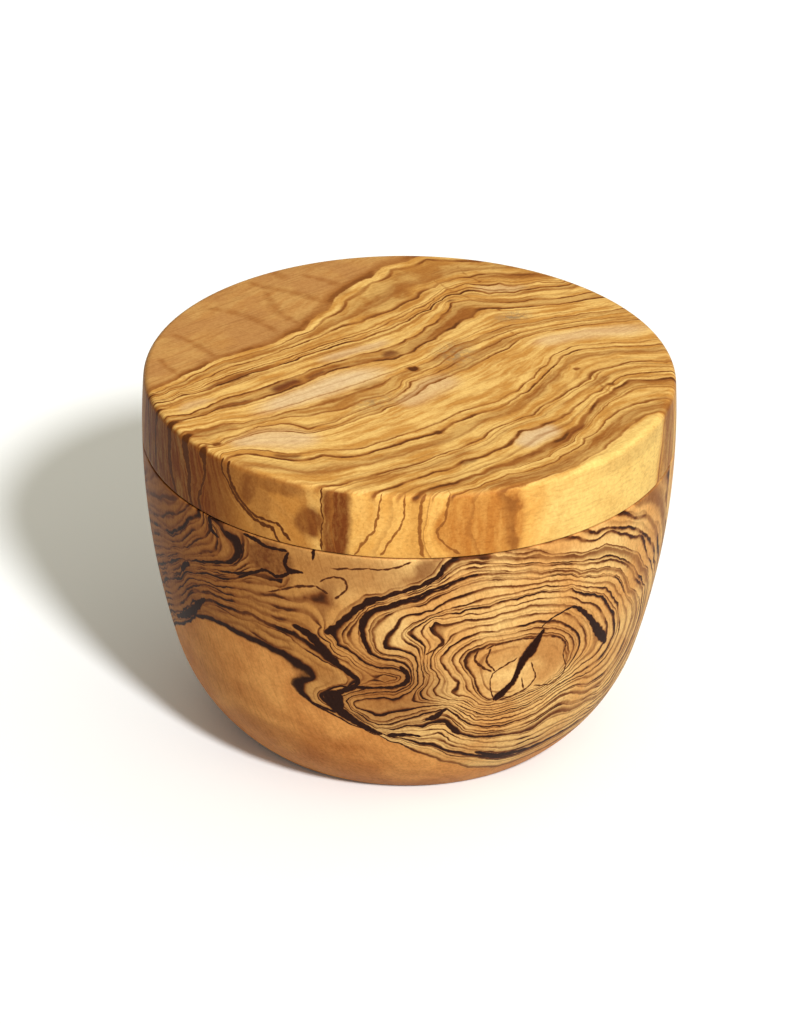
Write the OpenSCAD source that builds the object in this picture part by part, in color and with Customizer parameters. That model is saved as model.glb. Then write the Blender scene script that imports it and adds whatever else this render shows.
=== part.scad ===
// Round wooden salt box, turned from olive wood.
// The lid swings sideways on an upright pin hidden in the wall at the back,
// and two small magnets hold it shut at the front.
// Millimetres, +Z up, the foot's centre at the origin, the front towards -Y.

/* [Box] */
// Diameter of the box at its widest
box_d = 108; // [98:1:120]
// Height of the bowl from the table to its rim
bowl_h = 63; // [58:1:72]
// Thickness of the lid
lid_t = 14; // [12:0.5:20]
// Radius of the gentle bulge that runs down the sides of lid and bowl alike
side_r = 165; // [130:5:220]
// Height of the widest point above the bowl's rim
widest_rise = 4; // [0:0.5:8]
// Radius of the curve that turns the sides under to the foot
heel_r = 39; // [34:0.5:44]
// Height of that curve's centre above the table
heel_rise = 31.5; // [27:0.5:33]

/* [Hollow] */
// Width of the bowl's flat rim, from the hollow to the outside
rim_w = 12; // [11:0.5:15]
// Depth of the hollow below the rim
hollow_depth = 52; // [40:1:54]
// Radius between the hollow's side and its floor
hollow_r = 30; // [15:1:36]

/* [Edges] */
// Round on the lid's top edge
top_round = 1.4; // [0.6:0.1:3]
// Round on the two edges that meet at the seam
seam_round = 0.3; // [0.2:0.1:0.8]
// Round where the hollow meets the rim
mouth_round = 1.2; // [0.5:0.1:1.5]
// Width of the bevel round the foot
foot_bevel = 0.6; // [0.3:0.1:1.5]

/* [Pivot] */
// Distance of the pivot pin's centre in from the widest diameter
pivot_inset = 6.5; // [6:0.1:7]
// Diameter of the steel pivot pin
pin_d = 5; // [4:0.1:5.4]
// Length of the pin glued into the bowl's wall
pin_in_bowl = 18; // [12:1:22]
// Length of the pin that stands up into the lid
pin_in_lid = 8.5; // [6:0.5:9]
// Wall of the brass bush that lines the lid's hole
bush_wall = 0.8; // [0.5:0.1:1]
// Free height above the pin's end, inside the bush's hole
pin_headroom = 0.5; // [0.3:0.1:1]
// Diameter of the thin washer between rim and lid
washer_d = 8.4; // [7.6:0.1:8.6]
// Thickness of that washer, which is the gap at the seam
washer_t = 0.3; // [0.2:0.05:0.6]

/* [Magnets] */
// Distance of the magnets' centres in from the widest diameter
magnet_inset = 6; // [5.5:0.1:6.5]
// Diameter of the disc magnets
magnet_d = 6; // [4:0.5:7]
// Thickness of each disc magnet
magnet_t = 3; // [2:0.5:4]

/* [Fits] */
// Clearance all round a piece that is glued in its hole
glue_gap = 0.05; // [0.02:0.01:0.1]
// Clearance all round the pin in its bush
running_gap = 0.03; // [0.01:0.01:0.08]
// Bevel on the ends of the pin, the bush and the magnets
small_bevel = 0.3; // [0.1:0.1:0.5]

/* [Hidden] */
$fn = 128;

box_r = box_d / 2;
side_centre = [box_r - side_r, bowl_h + widest_rise];
lid_z = bowl_h + washer_t;
lid_top_z = lid_z + lid_t;
hollow_top_r = box_r - rim_w;
hollow_floor_z = bowl_h - hollow_depth;
pivot_y = box_r - pivot_inset;
magnet_y = -(box_r - magnet_inset);
magnet_proud = washer_t / 2;
bush_bore_d = pin_d + 2 * running_gap;
bush_d = bush_bore_d + 2 * bush_wall;
bush_l = pin_in_lid - washer_t;
pin_groove_count = 4;
pin_groove_pitch = pin_in_bowl / (pin_groove_count + 1);
pin_groove_depth = 0.25;
pin_groove_h = 0.8;
foot_bevel_slope = tan(acos(heel_rise / heel_r) / 2);
arc_overlap = 0.002;
over = 1;

// Centre of an arc of radius r at height z that meets the side's bulge smoothly from inside
function inner_centre(r, z) =
    [side_centre.x + sqrt(pow(side_r - r, 2) - pow(z - side_centre.y, 2)), z];

// Where the ray from the bulge's centre through c leaves the box's widest diameter
function ray_end(c) =
    side_centre + (c - side_centre) * (side_r + over) / (c.x - side_centre.x);

// Half outline of a turned piece: a lower arc, the shared bulge and an upper arc
module turned_outline(low_z, high_z, low_r, low_centre_z, high_r) {
    low_c = inner_centre(low_r, low_centre_z);
    high_c = inner_centre(high_r, high_z - high_r);
    intersection() {
        translate([0, low_z]) square([box_r + over, high_z - low_z]);
        translate(side_centre) circle(side_r);
        union() {
            translate(low_c) circle(low_r + arc_overlap);
            translate(high_c) circle(high_r + arc_overlap);
            polygon([
                [0, low_z - over], [low_c.x, low_z - over], low_c, ray_end(low_c),
                ray_end(high_c), high_c, [high_c.x, high_z + over], [0, high_z + over]
            ]);
        }
    }
}

// Half outline of the space that is turned out of the bowl
module hollow_outline() {
    floor_r = hollow_top_r - hollow_r;
    floor_round_z = hollow_floor_z + hollow_r;
    translate([0, floor_round_z]) square([hollow_top_r, bowl_h + over - floor_round_z]);
    translate([0, hollow_floor_z]) square([floor_r, hollow_r]);
    intersection() {
        translate([floor_r, floor_round_z]) circle(hollow_r);
        translate([floor_r, hollow_floor_z]) square(hollow_r);
    }
    difference() {
        translate([hollow_top_r, bowl_h - mouth_round]) square([mouth_round, mouth_round + over]);
        translate([hollow_top_r + mouth_round, bowl_h - mouth_round]) circle(mouth_round);
    }
}

// Cuts a narrow bevel round the foot, at the angle between the foot and the heel
module foot_cut() {
    foot_r = inner_centre(heel_r, heel_rise).x + sqrt(pow(heel_r, 2) - pow(heel_rise, 2));
    cut_w = foot_bevel + 2 * over;
    translate([foot_r - foot_bevel, 0])
        polygon([[0, 0], [0, -over], [cut_w, -over], [cut_w, cut_w * foot_bevel_slope]]);
}

// A plain round blind hole, from its floor up to just past the surface
module blind_hole(d, floor_z, mouth_z) {
    translate([0, 0, floor_z]) cylinder(d = d, h = mouth_z - floor_z + over);
}

// A disc or rod with a bevel on both ends
module bevelled_rod(d, h) {
    rotate_extrude()
        polygon([
            [0, 0], [d / 2 - small_bevel, 0], [d / 2, small_bevel],
            [d / 2, h - small_bevel], [d / 2 - small_bevel, h], [0, h]
        ]);
}

module bowl() {
    color("peru") difference() {
        rotate_extrude() difference() {
            turned_outline(0, bowl_h, heel_r, heel_rise, seam_round);
            hollow_outline();
            foot_cut();
        }
        translate([0, pivot_y, 0])
            blind_hole(pin_d + 2 * glue_gap, bowl_h - pin_in_bowl - glue_gap, bowl_h);
        translate([0, magnet_y, 0])
            blind_hole(magnet_d + 2 * glue_gap, bowl_h + magnet_proud - magnet_t - glue_gap, bowl_h);
    }
}

module lid() {
    color("burlywood") difference() {
        rotate_extrude()
            turned_outline(lid_z, lid_top_z, seam_round, lid_z + seam_round, top_round);
        translate([0, pivot_y, lid_z - over])
            cylinder(d = bush_d + 2 * glue_gap, h = bush_l + pin_headroom + over);
        translate([0, magnet_y, lid_z - over])
            cylinder(d = magnet_d + 2 * glue_gap, h = magnet_t - magnet_proud + glue_gap + over);
    }
}

// The ring cut away for one glue groove of the pin
module glue_groove() {
    difference() {
        cylinder(d = pin_d + over, h = pin_groove_h);
        translate([0, 0, -over])
            cylinder(d = pin_d - 2 * pin_groove_depth, h = pin_groove_h + 2 * over);
    }
}

// Steel pin, with shallow rings that key the glue in the bowl's wall
module pivot_pin() {
    color("silver") translate([0, pivot_y, bowl_h - pin_in_bowl]) difference() {
        bevelled_rod(pin_d, pin_in_bowl + pin_in_lid);
        for (i = [1:pin_groove_count])
            translate([0, 0, i * pin_groove_pitch - pin_groove_h / 2]) glue_groove();
    }
}

// Brass bush glued into the lid, with a flared mouth that finds the pin
module pivot_bush() {
    color("goldenrod") translate([0, pivot_y, lid_z]) rotate_extrude()
        polygon([
            [bush_bore_d / 2 + small_bevel, 0], [bush_d / 2, 0],
            [bush_d / 2, bush_l], [bush_bore_d / 2, bush_l], [bush_bore_d / 2, small_bevel]
        ]);
}

module pivot_washer() {
    color("khaki") translate([0, pivot_y, bowl_h]) difference() {
        cylinder(d = washer_d, h = washer_t);
        translate([0, 0, -over]) cylinder(d = pin_d + 2 * running_gap, h = washer_t + 2 * over);
    }
}

module rim_magnet() {
    color("gainsboro") translate([0, magnet_y, bowl_h + magnet_proud - magnet_t])
        bevelled_rod(magnet_d, magnet_t);
}

module lid_magnet() {
    color("gainsboro") translate([0, magnet_y, lid_z - magnet_proud])
        bevelled_rod(magnet_d, magnet_t);
}

bowl();
lid();
pivot_pin();
pivot_bush();
pivot_washer();
rim_magnet();
lid_magnet();
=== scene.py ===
import math

import bmesh
import bpy
import numpy as np
from mathutils import Matrix, Vector


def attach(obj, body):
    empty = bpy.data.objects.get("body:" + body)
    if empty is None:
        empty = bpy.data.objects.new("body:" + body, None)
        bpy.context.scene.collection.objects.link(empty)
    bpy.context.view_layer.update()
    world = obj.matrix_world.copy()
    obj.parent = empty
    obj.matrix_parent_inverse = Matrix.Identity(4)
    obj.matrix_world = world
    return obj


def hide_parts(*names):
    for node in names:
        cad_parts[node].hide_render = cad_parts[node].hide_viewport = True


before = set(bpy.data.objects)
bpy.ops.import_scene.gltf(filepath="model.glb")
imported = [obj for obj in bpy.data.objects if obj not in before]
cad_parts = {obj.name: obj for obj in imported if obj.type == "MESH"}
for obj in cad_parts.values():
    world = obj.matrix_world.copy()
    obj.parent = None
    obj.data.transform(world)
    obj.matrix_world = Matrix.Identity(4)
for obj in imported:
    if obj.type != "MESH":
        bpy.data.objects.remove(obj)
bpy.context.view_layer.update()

MM = 0.001

# Camera: the photograph's view, from the front and about 27 degrees above the table.
# It stands far off behind a long lens, so the round box shows almost no perspective.
seam_centre = Vector((0, 0, 63 * MM))
aim_left = 1.60 * MM
aim_down = 15.71 * MM
camera_rise = math.radians(27.36)
camera_reach = 1.888
camera_right = Vector((1, 0, 0))
camera_up = Vector((0, math.sin(camera_rise), math.cos(camera_rise)))
camera_place = seam_centre + camera_reach * Vector(
    (0, -math.cos(camera_rise), math.sin(camera_rise))
)
camera_aim = seam_centre - camera_right * aim_left - camera_up * aim_down
camera_roll = math.radians(0.74)


def put(name, data):
    """A new object that shows some data, linked into the scene."""
    thing = bpy.data.objects.new(name, data)
    bpy.context.collection.objects.link(thing)
    return thing


camera_data = bpy.data.cameras.new("camera")
camera_data.sensor_width = 36
camera_data.lens = 328.0
camera_data.clip_start = 0.1
camera_data.clip_end = 20
camera = put("camera", camera_data)
camera.rotation_mode = "QUATERNION"
camera.location = camera_place
camera.rotation_quaternion = (
    (camera_aim - camera_place).to_track_quat("-Z", "Y")
    @ Matrix.Rotation(camera_roll, 3, "Z").to_quaternion()
)
bpy.context.scene.camera = camera
bpy.context.scene.view_settings.view_transform = "Standard"

# Studio: a pale table top, an even warm fill from all round and one small soft lamp.
# The lamp stands in front and to the right, so the shadow falls away to the back left.
fill_light = (1.0, 0.965, 0.80)
fill_strength = 0.72
fill_side = Vector((0.80, -0.10, 0.0))
key_light = (0.97, 0.985, 1.0)
key_strength = 3.3
key_azimuth = math.radians(22)
key_rise = math.radians(39)
key_spread = math.radians(7)
table_half = 3.0
table_bounce = (0.50, 0.50, 0.50)
table_glow = 0.04


def feed(tree, socket, value):
    """Links a value to a socket if it comes from a node, or else sets it."""
    if isinstance(value, bpy.types.NodeSocket):
        tree.links.new(value, socket)
    elif value is not None:
        socket.default_value = value


def wired(tree, kind, *values, **settings):
    """A new node with its settings, its inputs fed in order. None leaves an input as it is."""
    node = tree.nodes.new(kind)
    for setting, value in settings.items():
        setattr(node, setting, value)
    for socket, value in zip(node.inputs, values):
        feed(tree, socket, value)
    return node


world = bpy.data.worlds.new("studio")
world.use_nodes = True
sky = world.node_tree
facing = wired(sky, "ShaderNodeTexCoord").outputs["Generated"]
sky_side = wired(sky, "ShaderNodeVectorMath", facing, fill_side, operation="DOT_PRODUCT")
sky_tilt = wired(sky, "ShaderNodeMath", sky_side.outputs["Value"], 1.0, operation="ADD").outputs[0]
sky_height = wired(sky, "ShaderNodeSeparateXYZ", facing).outputs["Z"]
sky_level = wired(sky, "ShaderNodeMath", sky_tilt, sky_height, operation="MULTIPLY", use_clamp=True)
sky_power = wired(sky, "ShaderNodeMath", sky_level.outputs[0], fill_strength, operation="MULTIPLY")
sky.nodes["Background"].inputs["Color"].default_value = (*fill_light, 1)
sky.links.new(sky_power.outputs[0], sky.nodes["Background"].inputs["Strength"])
bpy.context.scene.world = world

key_data = bpy.data.lights.new("key_lamp", "SUN")
key_data.energy = key_strength
key_data.color = key_light
key_data.angle = key_spread
key_lamp = put("key_lamp", key_data)
key_from = Vector((
    math.sin(key_azimuth) * math.cos(key_rise),
    -math.cos(key_azimuth) * math.cos(key_rise),
    math.sin(key_rise),
))
key_lamp.rotation_mode = "QUATERNION"
key_lamp.rotation_quaternion = (-key_from).to_track_quat("-Z", "Y")

table_mesh = bpy.data.meshes.new("table_top")
table_mesh.from_pydata(
    [(x * table_half, y * table_half, 0) for x, y in ((-1, -1), (1, -1), (1, 1), (-1, 1))],
    [], [(0, 1, 2, 3)],
)
table_top = put("table_top", table_mesh)
table_paint = bpy.data.materials.new("table_paint")
table_paint.use_nodes = True
paint = table_paint.node_tree
matte = paint.nodes["Principled BSDF"]
matte.inputs["Base Color"].default_value = (*table_bounce, 1)
matte.inputs["Roughness"].default_value = 0.9
matte.inputs["Specular IOR Level"].default_value = 0.0
white = wired(paint, "ShaderNodeBsdfDiffuse", (1, 1, 1, 1))
glow = wired(paint, "ShaderNodeEmission", None, table_glow)
seen = wired(paint, "ShaderNodeAddShader", white.outputs[0], glow.outputs[0])
rays = wired(paint, "ShaderNodeLightPath").outputs
ray_seen = rays["Is Camera Ray"]
for ray_name in ("Is Glossy Ray", "Is Transmission Ray"):
    ray_seen = wired(paint, "ShaderNodeMath", ray_seen, rays[ray_name], operation="MAXIMUM").outputs[0]
shown = wired(paint, "ShaderNodeMixShader", ray_seen, matte.outputs[0], seen.outputs[0])
paint.links.new(shown.outputs[0], paint.nodes["Material Output"].inputs["Surface"])
table_mesh.materials.append(table_paint)

# Bowl: one block of olive wood, turned between centres and hollowed from the top.
# Its side bulges gently and rolls under to a flat foot. Sanded and oiled, it shows a burl
# with a cracked heart at the front right and pale clean sapwood low at the front left.
box_r = 54.0
bowl_h = 63.0
side_r = 165.0
widest_z = bowl_h + 4.0
heel_r = 39.0
heel_z = 31.5
rim_w = 12.0
hollow_depth = 52.0
hollow_r = 30.0
seam_round = 0.3
mouth_round = 1.2
foot_bevel = 0.6
pivot_y = box_r - 6.5
pin_d = 5.0
pin_in_bowl = 18.0
magnet_y = 6.0 - box_r
magnet_d = 6.0
magnet_t = 3.0
glue_gap = 0.05
seam_gap = 0.3
crack_azimuth = 27
crack_sides = (19, 34)
crack_span = (26.0, 44.0)
crack_depth = 0.7
side_centre = (box_r - side_r, widest_z)


def arc_points(centre, radius, start, end, steps):
    """Points (across, up) along an arc, from one angle in degrees to another."""
    angles = [math.radians(start + (end - start) * i / steps) for i in range(steps + 1)]
    return [(centre[0] + radius * math.cos(a), centre[1] + radius * math.sin(a)) for a in angles]


def line_points(start, end, steps):
    """Points (across, up) along a straight line, both ends included."""
    return [
        (start[0] + (end[0] - start[0]) * i / steps, start[1] + (end[1] - start[1]) * i / steps)
        for i in range(steps + 1)
    ]


def corner_on_side(radius, z):
    """Centre of an arc at height z that runs smoothly into the side, and the angle it meets at."""
    rise = z - side_centre[1]
    centre = (side_centre[0] + math.sqrt((side_r - radius) ** 2 - rise ** 2), z)
    return centre, math.degrees(math.atan2(rise, centre[0] - side_centre[0]))


def joined(*runs):
    """One run of points out of several, without the points that two of them share."""
    points = []
    for run in runs:
        for point in run:
            if not points or math.dist(points[-1], point) > 1e-4:
                points.append(point)
    return points


heel_centre, heel_meets = corner_on_side(heel_r, heel_z)
rim_centre, rim_meets = corner_on_side(seam_round, bowl_h - seam_round)
bevel_slope = math.tan(math.acos(heel_z / heel_r) / 2)
foot_r = heel_centre[0] + math.sqrt(heel_r ** 2 - heel_z ** 2)
bevel_start = (foot_r - foot_bevel, 0.0)
bevel_line = Vector((1.0, bevel_slope)).normalized()
to_centre = Vector(heel_centre) - Vector(bevel_start)
bevel_reach = to_centre.dot(bevel_line) + math.sqrt(
    heel_r ** 2 - to_centre.length_squared + to_centre.dot(bevel_line) ** 2
)
bevel_end = tuple(Vector(bevel_start) + bevel_line * bevel_reach)
heel_start = math.degrees(math.atan2(bevel_end[1] - heel_centre[1], bevel_end[0] - heel_centre[0]))
crack_low, crack_high = (math.degrees(math.asin((z - widest_z) / side_r)) for z in crack_span)
hollow_top_r = box_r - rim_w
hollow_floor_z = bowl_h - hollow_depth
bowl_outline = joined(
    line_points((0, 0), bevel_start, 8),
    line_points(bevel_start, bevel_end, 2),
    arc_points(heel_centre, heel_r, heel_start, heel_meets, 32),
    arc_points(side_centre, side_r, heel_meets, crack_low, 8),
    arc_points(side_centre, side_r, crack_low, crack_high, 48),
    arc_points(side_centre, side_r, crack_high, rim_meets, 18),
    arc_points(rim_centre, seam_round, rim_meets, 90, 5),
    line_points((rim_centre[0], bowl_h), (hollow_top_r + mouth_round, bowl_h), 6),
    arc_points((hollow_top_r + mouth_round, bowl_h - mouth_round), mouth_round, 90, 180, 7),
    line_points((hollow_top_r, bowl_h - mouth_round), (hollow_top_r, hollow_floor_z + hollow_r), 12),
    arc_points((hollow_top_r - hollow_r, hollow_floor_z + hollow_r), hollow_r, 0, -90, 26),
    line_points((hollow_top_r - hollow_r, hollow_floor_z), (0, hollow_floor_z), 6),
)


def turning_tree():
    """Geometry Nodes tree that turns an outline round the upright axis into a closed skin."""
    tree = bpy.data.node_groups.new("turned_form", "GeometryNodeTree")
    for name, kind in (
        ("Outline", "Geometry"), ("Steps Round", "Int"), ("Crowding", "Float"),
        ("Crowded Side", "Float"), ("Weld", "Float"), ("Wood", "Material"),
    ):
        tree.interface.new_socket(name, in_out="INPUT", socket_type="NodeSocket" + kind)
    tree.interface.new_socket("Form", in_out="OUTPUT", socket_type="NodeSocketGeometry")
    given = wired(tree, "NodeGroupInput").outputs
    outline, steps = given["Outline"], given["Steps Round"]

    def calc(operation, *values):
        return wired(tree, "ShaderNodeMath", *values, operation=operation).outputs[0]

    count = wired(tree, "GeometryNodeAttributeDomainSize", outline).outputs["Point Count"]
    grid = wired(tree, "GeometryNodeMeshGrid", None, None, calc("ADD", steps, 1), count)
    index = wired(tree, "GeometryNodeInputIndex").outputs[0]
    along = calc("MODULO", index, count)
    column = calc("FLOOR", calc("DIVIDE", calc("ADD", index, 0.5), count))
    full_turn = calc("MULTIPLY", calc("DIVIDE", column, steps), 2 * math.pi)
    crowd = calc("MULTIPLY", calc("SINE", full_turn), given["Crowding"])
    angle = calc("ADD", calc("SUBTRACT", full_turn, crowd), given["Crowded Side"])
    sample = wired(tree, "GeometryNodeSampleIndex", outline, data_type="FLOAT_VECTOR")
    feed(tree, sample.inputs["Value"], wired(tree, "GeometryNodeInputPosition").outputs[0])
    feed(tree, sample.inputs["Index"], along)
    across, _, up = wired(tree, "ShaderNodeSeparateXYZ", sample.outputs["Value"]).outputs
    x, y = (calc("MULTIPLY", across, calc(wave, angle)) for wave in ("COSINE", "SINE"))
    shape = wired(tree, "GeometryNodeSetPosition", grid.outputs["Mesh"])
    feed(tree, shape.inputs["Position"], wired(tree, "ShaderNodeCombineXYZ", x, y, up).outputs[0])
    weld = wired(tree, "GeometryNodeMergeByDistance", shape.outputs[0])
    feed(tree, weld.inputs["Distance"], given["Weld"])
    real = wired(tree, "GeometryNodeRealizeInstances", weld.outputs[0])
    coat = wired(tree, "GeometryNodeSetMaterial", real.outputs[0])
    feed(tree, coat.inputs["Material"], given["Wood"])
    wired(tree, "NodeGroupOutput", coat.outputs[0])
    return tree


turning = turning_tree()


def turned_mesh(name, outline, steps, wood, crowding=0.0, crowded_side=0.0):
    """Closed mesh of an outline (across, up, in millimetres) turned round the upright axis."""
    chain = bpy.data.meshes.new(name + "_outline")
    chain.from_pydata(
        [(x * MM, 0, z * MM) for x, z in outline],
        [(i, i + 1) for i in range(len(outline) - 1)], [],
    )
    lathe = put(name + "_outline", chain)
    work = lathe.modifiers.new("turning", "NODES")
    work.node_group = turning
    wanted = {
        "Steps Round": steps, "Crowding": crowding, "Crowded Side": crowded_side,
        "Weld": 1e-6, "Wood": wood,
    }
    for item in turning.interface.items_tree:
        if item.in_out == "INPUT" and item.name in wanted:
            work[item.identifier] = wanted[item.name]
    bpy.context.view_layer.update()
    evaluated = lathe.evaluated_get(bpy.context.evaluated_depsgraph_get())
    mesh = bpy.data.meshes.new_from_object(evaluated)
    mesh.name = name
    bpy.data.objects.remove(lathe)
    bpy.data.meshes.remove(chain)
    skin = bmesh.new()
    skin.from_mesh(mesh)
    bmesh.ops.remove_doubles(skin, verts=skin.verts, dist=1e-6)
    bmesh.ops.recalc_face_normals(skin, faces=skin.faces)
    for face in skin.faces:
        face.smooth = True
    skin.to_mesh(mesh)
    skin.free()
    return mesh


def bored(piece, *holes):
    """Bores round holes into a piece, each (y, diameter, low z, high z) in millimetres."""
    for y, diameter, low, high in holes:
        drill_mesh = bpy.data.meshes.new("drill")
        drill = bmesh.new()
        bmesh.ops.create_cone(
            drill, cap_ends=True, segments=64, depth=(high - low) * MM,
            radius1=diameter / 2 * MM, radius2=diameter / 2 * MM,
            matrix=Matrix.Translation((0, y * MM, (low + high) / 2 * MM)),
        )
        drill.to_mesh(drill_mesh)
        drill.free()
        cutter = put("drill", drill_mesh)
        cut = piece.modifiers.new("bore", "BOOLEAN")
        cut.solver = "EXACT"
        cut.operation = "DIFFERENCE"
        cut.object = cutter
        bpy.context.view_layer.update()
        evaluated = piece.evaluated_get(bpy.context.evaluated_depsgraph_get())
        mesh = bpy.data.meshes.new_from_object(evaluated)
        piece.modifiers.remove(cut)
        old = piece.data
        piece.data = mesh
        mesh.name = piece.name
        bpy.data.meshes.remove(old)
        bpy.data.objects.remove(cutter)
        bpy.data.meshes.remove(drill_mesh)


def curved(chain):
    """A chain with one more place between every two, on a smooth curve through them all."""
    fuller, last = [chain[0]], len(chain) - 1
    for i in range(last):
        four = [chain[min(last, max(0, j))] for j in (i - 1, i, i + 1, i + 2)]
        middle = tuple((9 * (b + c) - a - d) / 16 for a, b, c, d in zip(*four))
        fuller += [middle, chain[i + 1]]
    return fuller


class Figure:
    """Builds the figure of a piece of wood out of nodes, one step of arithmetic at a time."""

    def __init__(self, name):
        self.material = bpy.data.materials.new(name)
        self.material.use_nodes = True
        self.tree = self.material.node_tree
        self.tree.nodes.clear()
        self.places = {}

    def add(self, kind, *values, **settings):
        return wired(self.tree, kind, *values, **settings)

    def calc(self, operation, *values):
        return self.add("ShaderNodeMath", *values, operation=operation).outputs[0]

    def times(self, *values):
        """The product of several values."""
        product = values[0]
        for value in values[1:]:
            product = self.calc("MULTIPLY", product, value)
        return product

    def scaled(self, value, factor, offset):
        return self.calc("MULTIPLY_ADD", value, factor, offset)

    def darkest(self, *values):
        """The highest of several strengths."""
        top = values[0]
        for value in values[1:]:
            top = self.calc("MAXIMUM", top, value)
        return top

    def vector(self, operation, first, second=None, factor=None):
        node = self.add("ShaderNodeVectorMath", first, second, None, factor, operation=operation)
        one_number = operation in ("LENGTH", "DOT_PRODUCT", "DISTANCE")
        return node.outputs["Value" if one_number else "Vector"]

    def own_point(self):
        """The piece's own coordinates, in millimetres."""
        own = self.add("ShaderNodeTexCoord").outputs["Object"]
        return self.vector("SCALE", own, factor=1000)

    def parts(self, point):
        """A point's x, y and z, each on its own."""
        return self.add("ShaderNodeSeparateXYZ", point).outputs

    def together(self, x, y, z):
        return self.add("ShaderNodeCombineXYZ", x, y, z).outputs[0]

    def fade(self, value, low, high, at_low=0.0, at_high=1.0):
        """Smooth step from one value to another while the input goes from low to high."""
        steps = (value, low, high, at_low, at_high)
        return self.add("ShaderNodeMapRange", *steps, interpolation_type="SMOOTHSTEP").outputs[0]

    def noise(self, point, size, detail=2.0, rough=0.5, shift=None, colour=False):
        """Cloudy noise with lumps of about the given size in millimetres."""
        if shift is not None:
            point = self.vector("ADD", point, shift)
        node = self.add("ShaderNodeTexNoise", point, None, 1 / size, detail, rough)
        return node.outputs["Color" if colour else "Fac"]

    def stretched(self, point, turn, size):
        """The point in a frame that is turned, in degrees, and squeezed to the given sizes."""
        turn = [math.radians(a) for a in turn]
        return self.add("ShaderNodeMapping", point, None, turn, size, vector_type="TEXTURE").outputs[0]

    def warped(self, point, size, amount, detail, shift):
        """The point moved about by cloudy noise, by up to about half the amount."""
        cloud = self.noise(point, size, detail, shift=shift, colour=True)
        push = self.vector("SUBTRACT", cloud, (0.5, 0.5, 0.5))
        return self.vector("ADD", point, self.vector("SCALE", push, factor=amount))

    def worked_apart(self, name, point, steps):
        """What some steps make of a point, in a node group of its own to keep each tree short."""
        group = bpy.data.node_groups.new(name, "ShaderNodeTree")
        group.interface.new_socket("Point", in_out="INPUT", socket_type="NodeSocketVector")
        group.interface.new_socket("Result", in_out="OUTPUT", socket_type="NodeSocketFloat")
        whole, self.tree = self.tree, group
        result = steps(self.add("NodeGroupInput").outputs[0])
        self.add("NodeGroupOutput", result)
        self.tree = whole
        return self.add("ShaderNodeGroup", point, node_tree=group).outputs[0]

    def nearness(self, place, centre, turn, size):
        """1 at a centre, falling evenly to 0 at the rim of a turned ball of the given size."""
        node = self.add("ShaderNodeMapping", place, centre, turn, size, vector_type="TEXTURE")
        ball = self.add("ShaderNodeTexGradient", node.outputs[0], gradient_type="SPHERICAL")
        return ball.outputs["Fac"]

    def place(self, point):
        """A point as one Mapping node gives it, so that many others can share it."""
        name = point.node.name
        if name not in self.places:
            self.places[name] = self.add("ShaderNodeMapping", point).outputs[0]
        return self.places[name]

    def knot(self, point, centre, azimuth, size, tilt=0.0):
        """Distance from a knot's heart, counted in its own size (across, deep, up), up to 1.25."""
        turn = (0, -math.radians(tilt), math.radians(azimuth))
        near = self.nearness(self.place(point), centre, turn, [1.25 * side for side in size])
        return self.scaled(near, -1.25, 1.25)

    def spot(self, point, centre, azimuth, size, near, far, inside=1.0, outside=0.0, tilt=0.0):
        """A round mark: one value up to the near share of its size, another beyond the far one."""
        return self.fade(self.knot(point, centre, azimuth, size, tilt), near, far, inside, outside)

    def strokes(self, point, skin, *chains, full=0.48, flat=False):
        """Strength of strokes drawn through chains of (place, place, half width) on a skin."""
        dashes = []
        for chain in chains:
            chain = curved(chain)
            for first, last in zip(chain, chain[1:]):
                start, end = Vector(skin(*first[:2])), Vector(skin(*last[:2]))
                middle, half = (start + end) / 2, (first[2] + last[2]) / 2
                along = (end - start).normalized()
                outward = Vector((0, 0, 1)) if flat else Vector((middle.x, middle.y, 0))
                outward = (outward - along * outward.dot(along)).normalized()
                turn = Matrix((along, outward, along.cross(outward))).transposed().to_euler()
                size = ((end - start).length * 0.62 + half * 0.7, 4, half)
                dashes.append((middle, turn, [1.25 * side for side in size]))
        drawn = []
        for i in range(0, len(dashes), 30):
            def steps(given, share=dashes[i:i + 30]):
                place = self.place(given)
                nearest = 0.0
                for dash in share:
                    nearest = self.calc("MAXIMUM", self.nearness(place, *dash), nearest)
                self.places.pop(given.node.name)
                return nearest
            drawn.append(self.worked_apart("strokes", point, steps))
        return self.fade(self.darkest(*drawn), 0.04, full)

    def fitted(self, point, anchors):
        """Smooth level through the wood that takes each anchor's value at the anchor's place."""
        places = np.array([place for place, value in anchors])
        count = len(places)
        system = np.zeros((count + 4, count + 4))
        system[:count, :count] = np.linalg.norm(places[:, None] - places[None], axis=2)
        system[:count, count] = system[count, :count] = 1
        system[:count, count + 1:] = places
        system[count + 1:, :count] = places.T
        values = np.array([value for place, value in anchors] + [0, 0, 0, 0])
        *pulls, start, across, deep, up = np.linalg.solve(system, values).tolist()
        level = self.calc("ADD", self.vector("DOT_PRODUCT", point, (across, deep, up)), start)
        for i in range(0, count, 60):
            def steps(given, share=range(i, min(i + 60, count))):
                pulled = 0.0
                for which in share:
                    apart = self.vector("DISTANCE", given, anchors[which][0])
                    pulled = self.calc("MULTIPLY_ADD", apart, pulls[which], pulled)
                return pulled
            level = self.calc("ADD", self.worked_apart("growth", point, steps), level)
        return level

    def growth_lines(self, level, spacing, thin, soft, seed, faint=0.0):
        """Dark lines along the contours of a level, each of its own strength, sharp on one side."""
        rings = self.calc("DIVIDE", level, spacing)
        ring = self.calc("FLOOR", rings)
        within = self.calc("SUBTRACT", rings, ring)

        def luck(which):
            which = self.calc("ADD", which, seed)
            node = self.add("ShaderNodeTexWhiteNoise", None, which, noise_dimensions="1D")
            drawn = self.calc("POWER", node.outputs["Value"], 2.0)
            return self.scaled(drawn, 1 - faint, faint)

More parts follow.
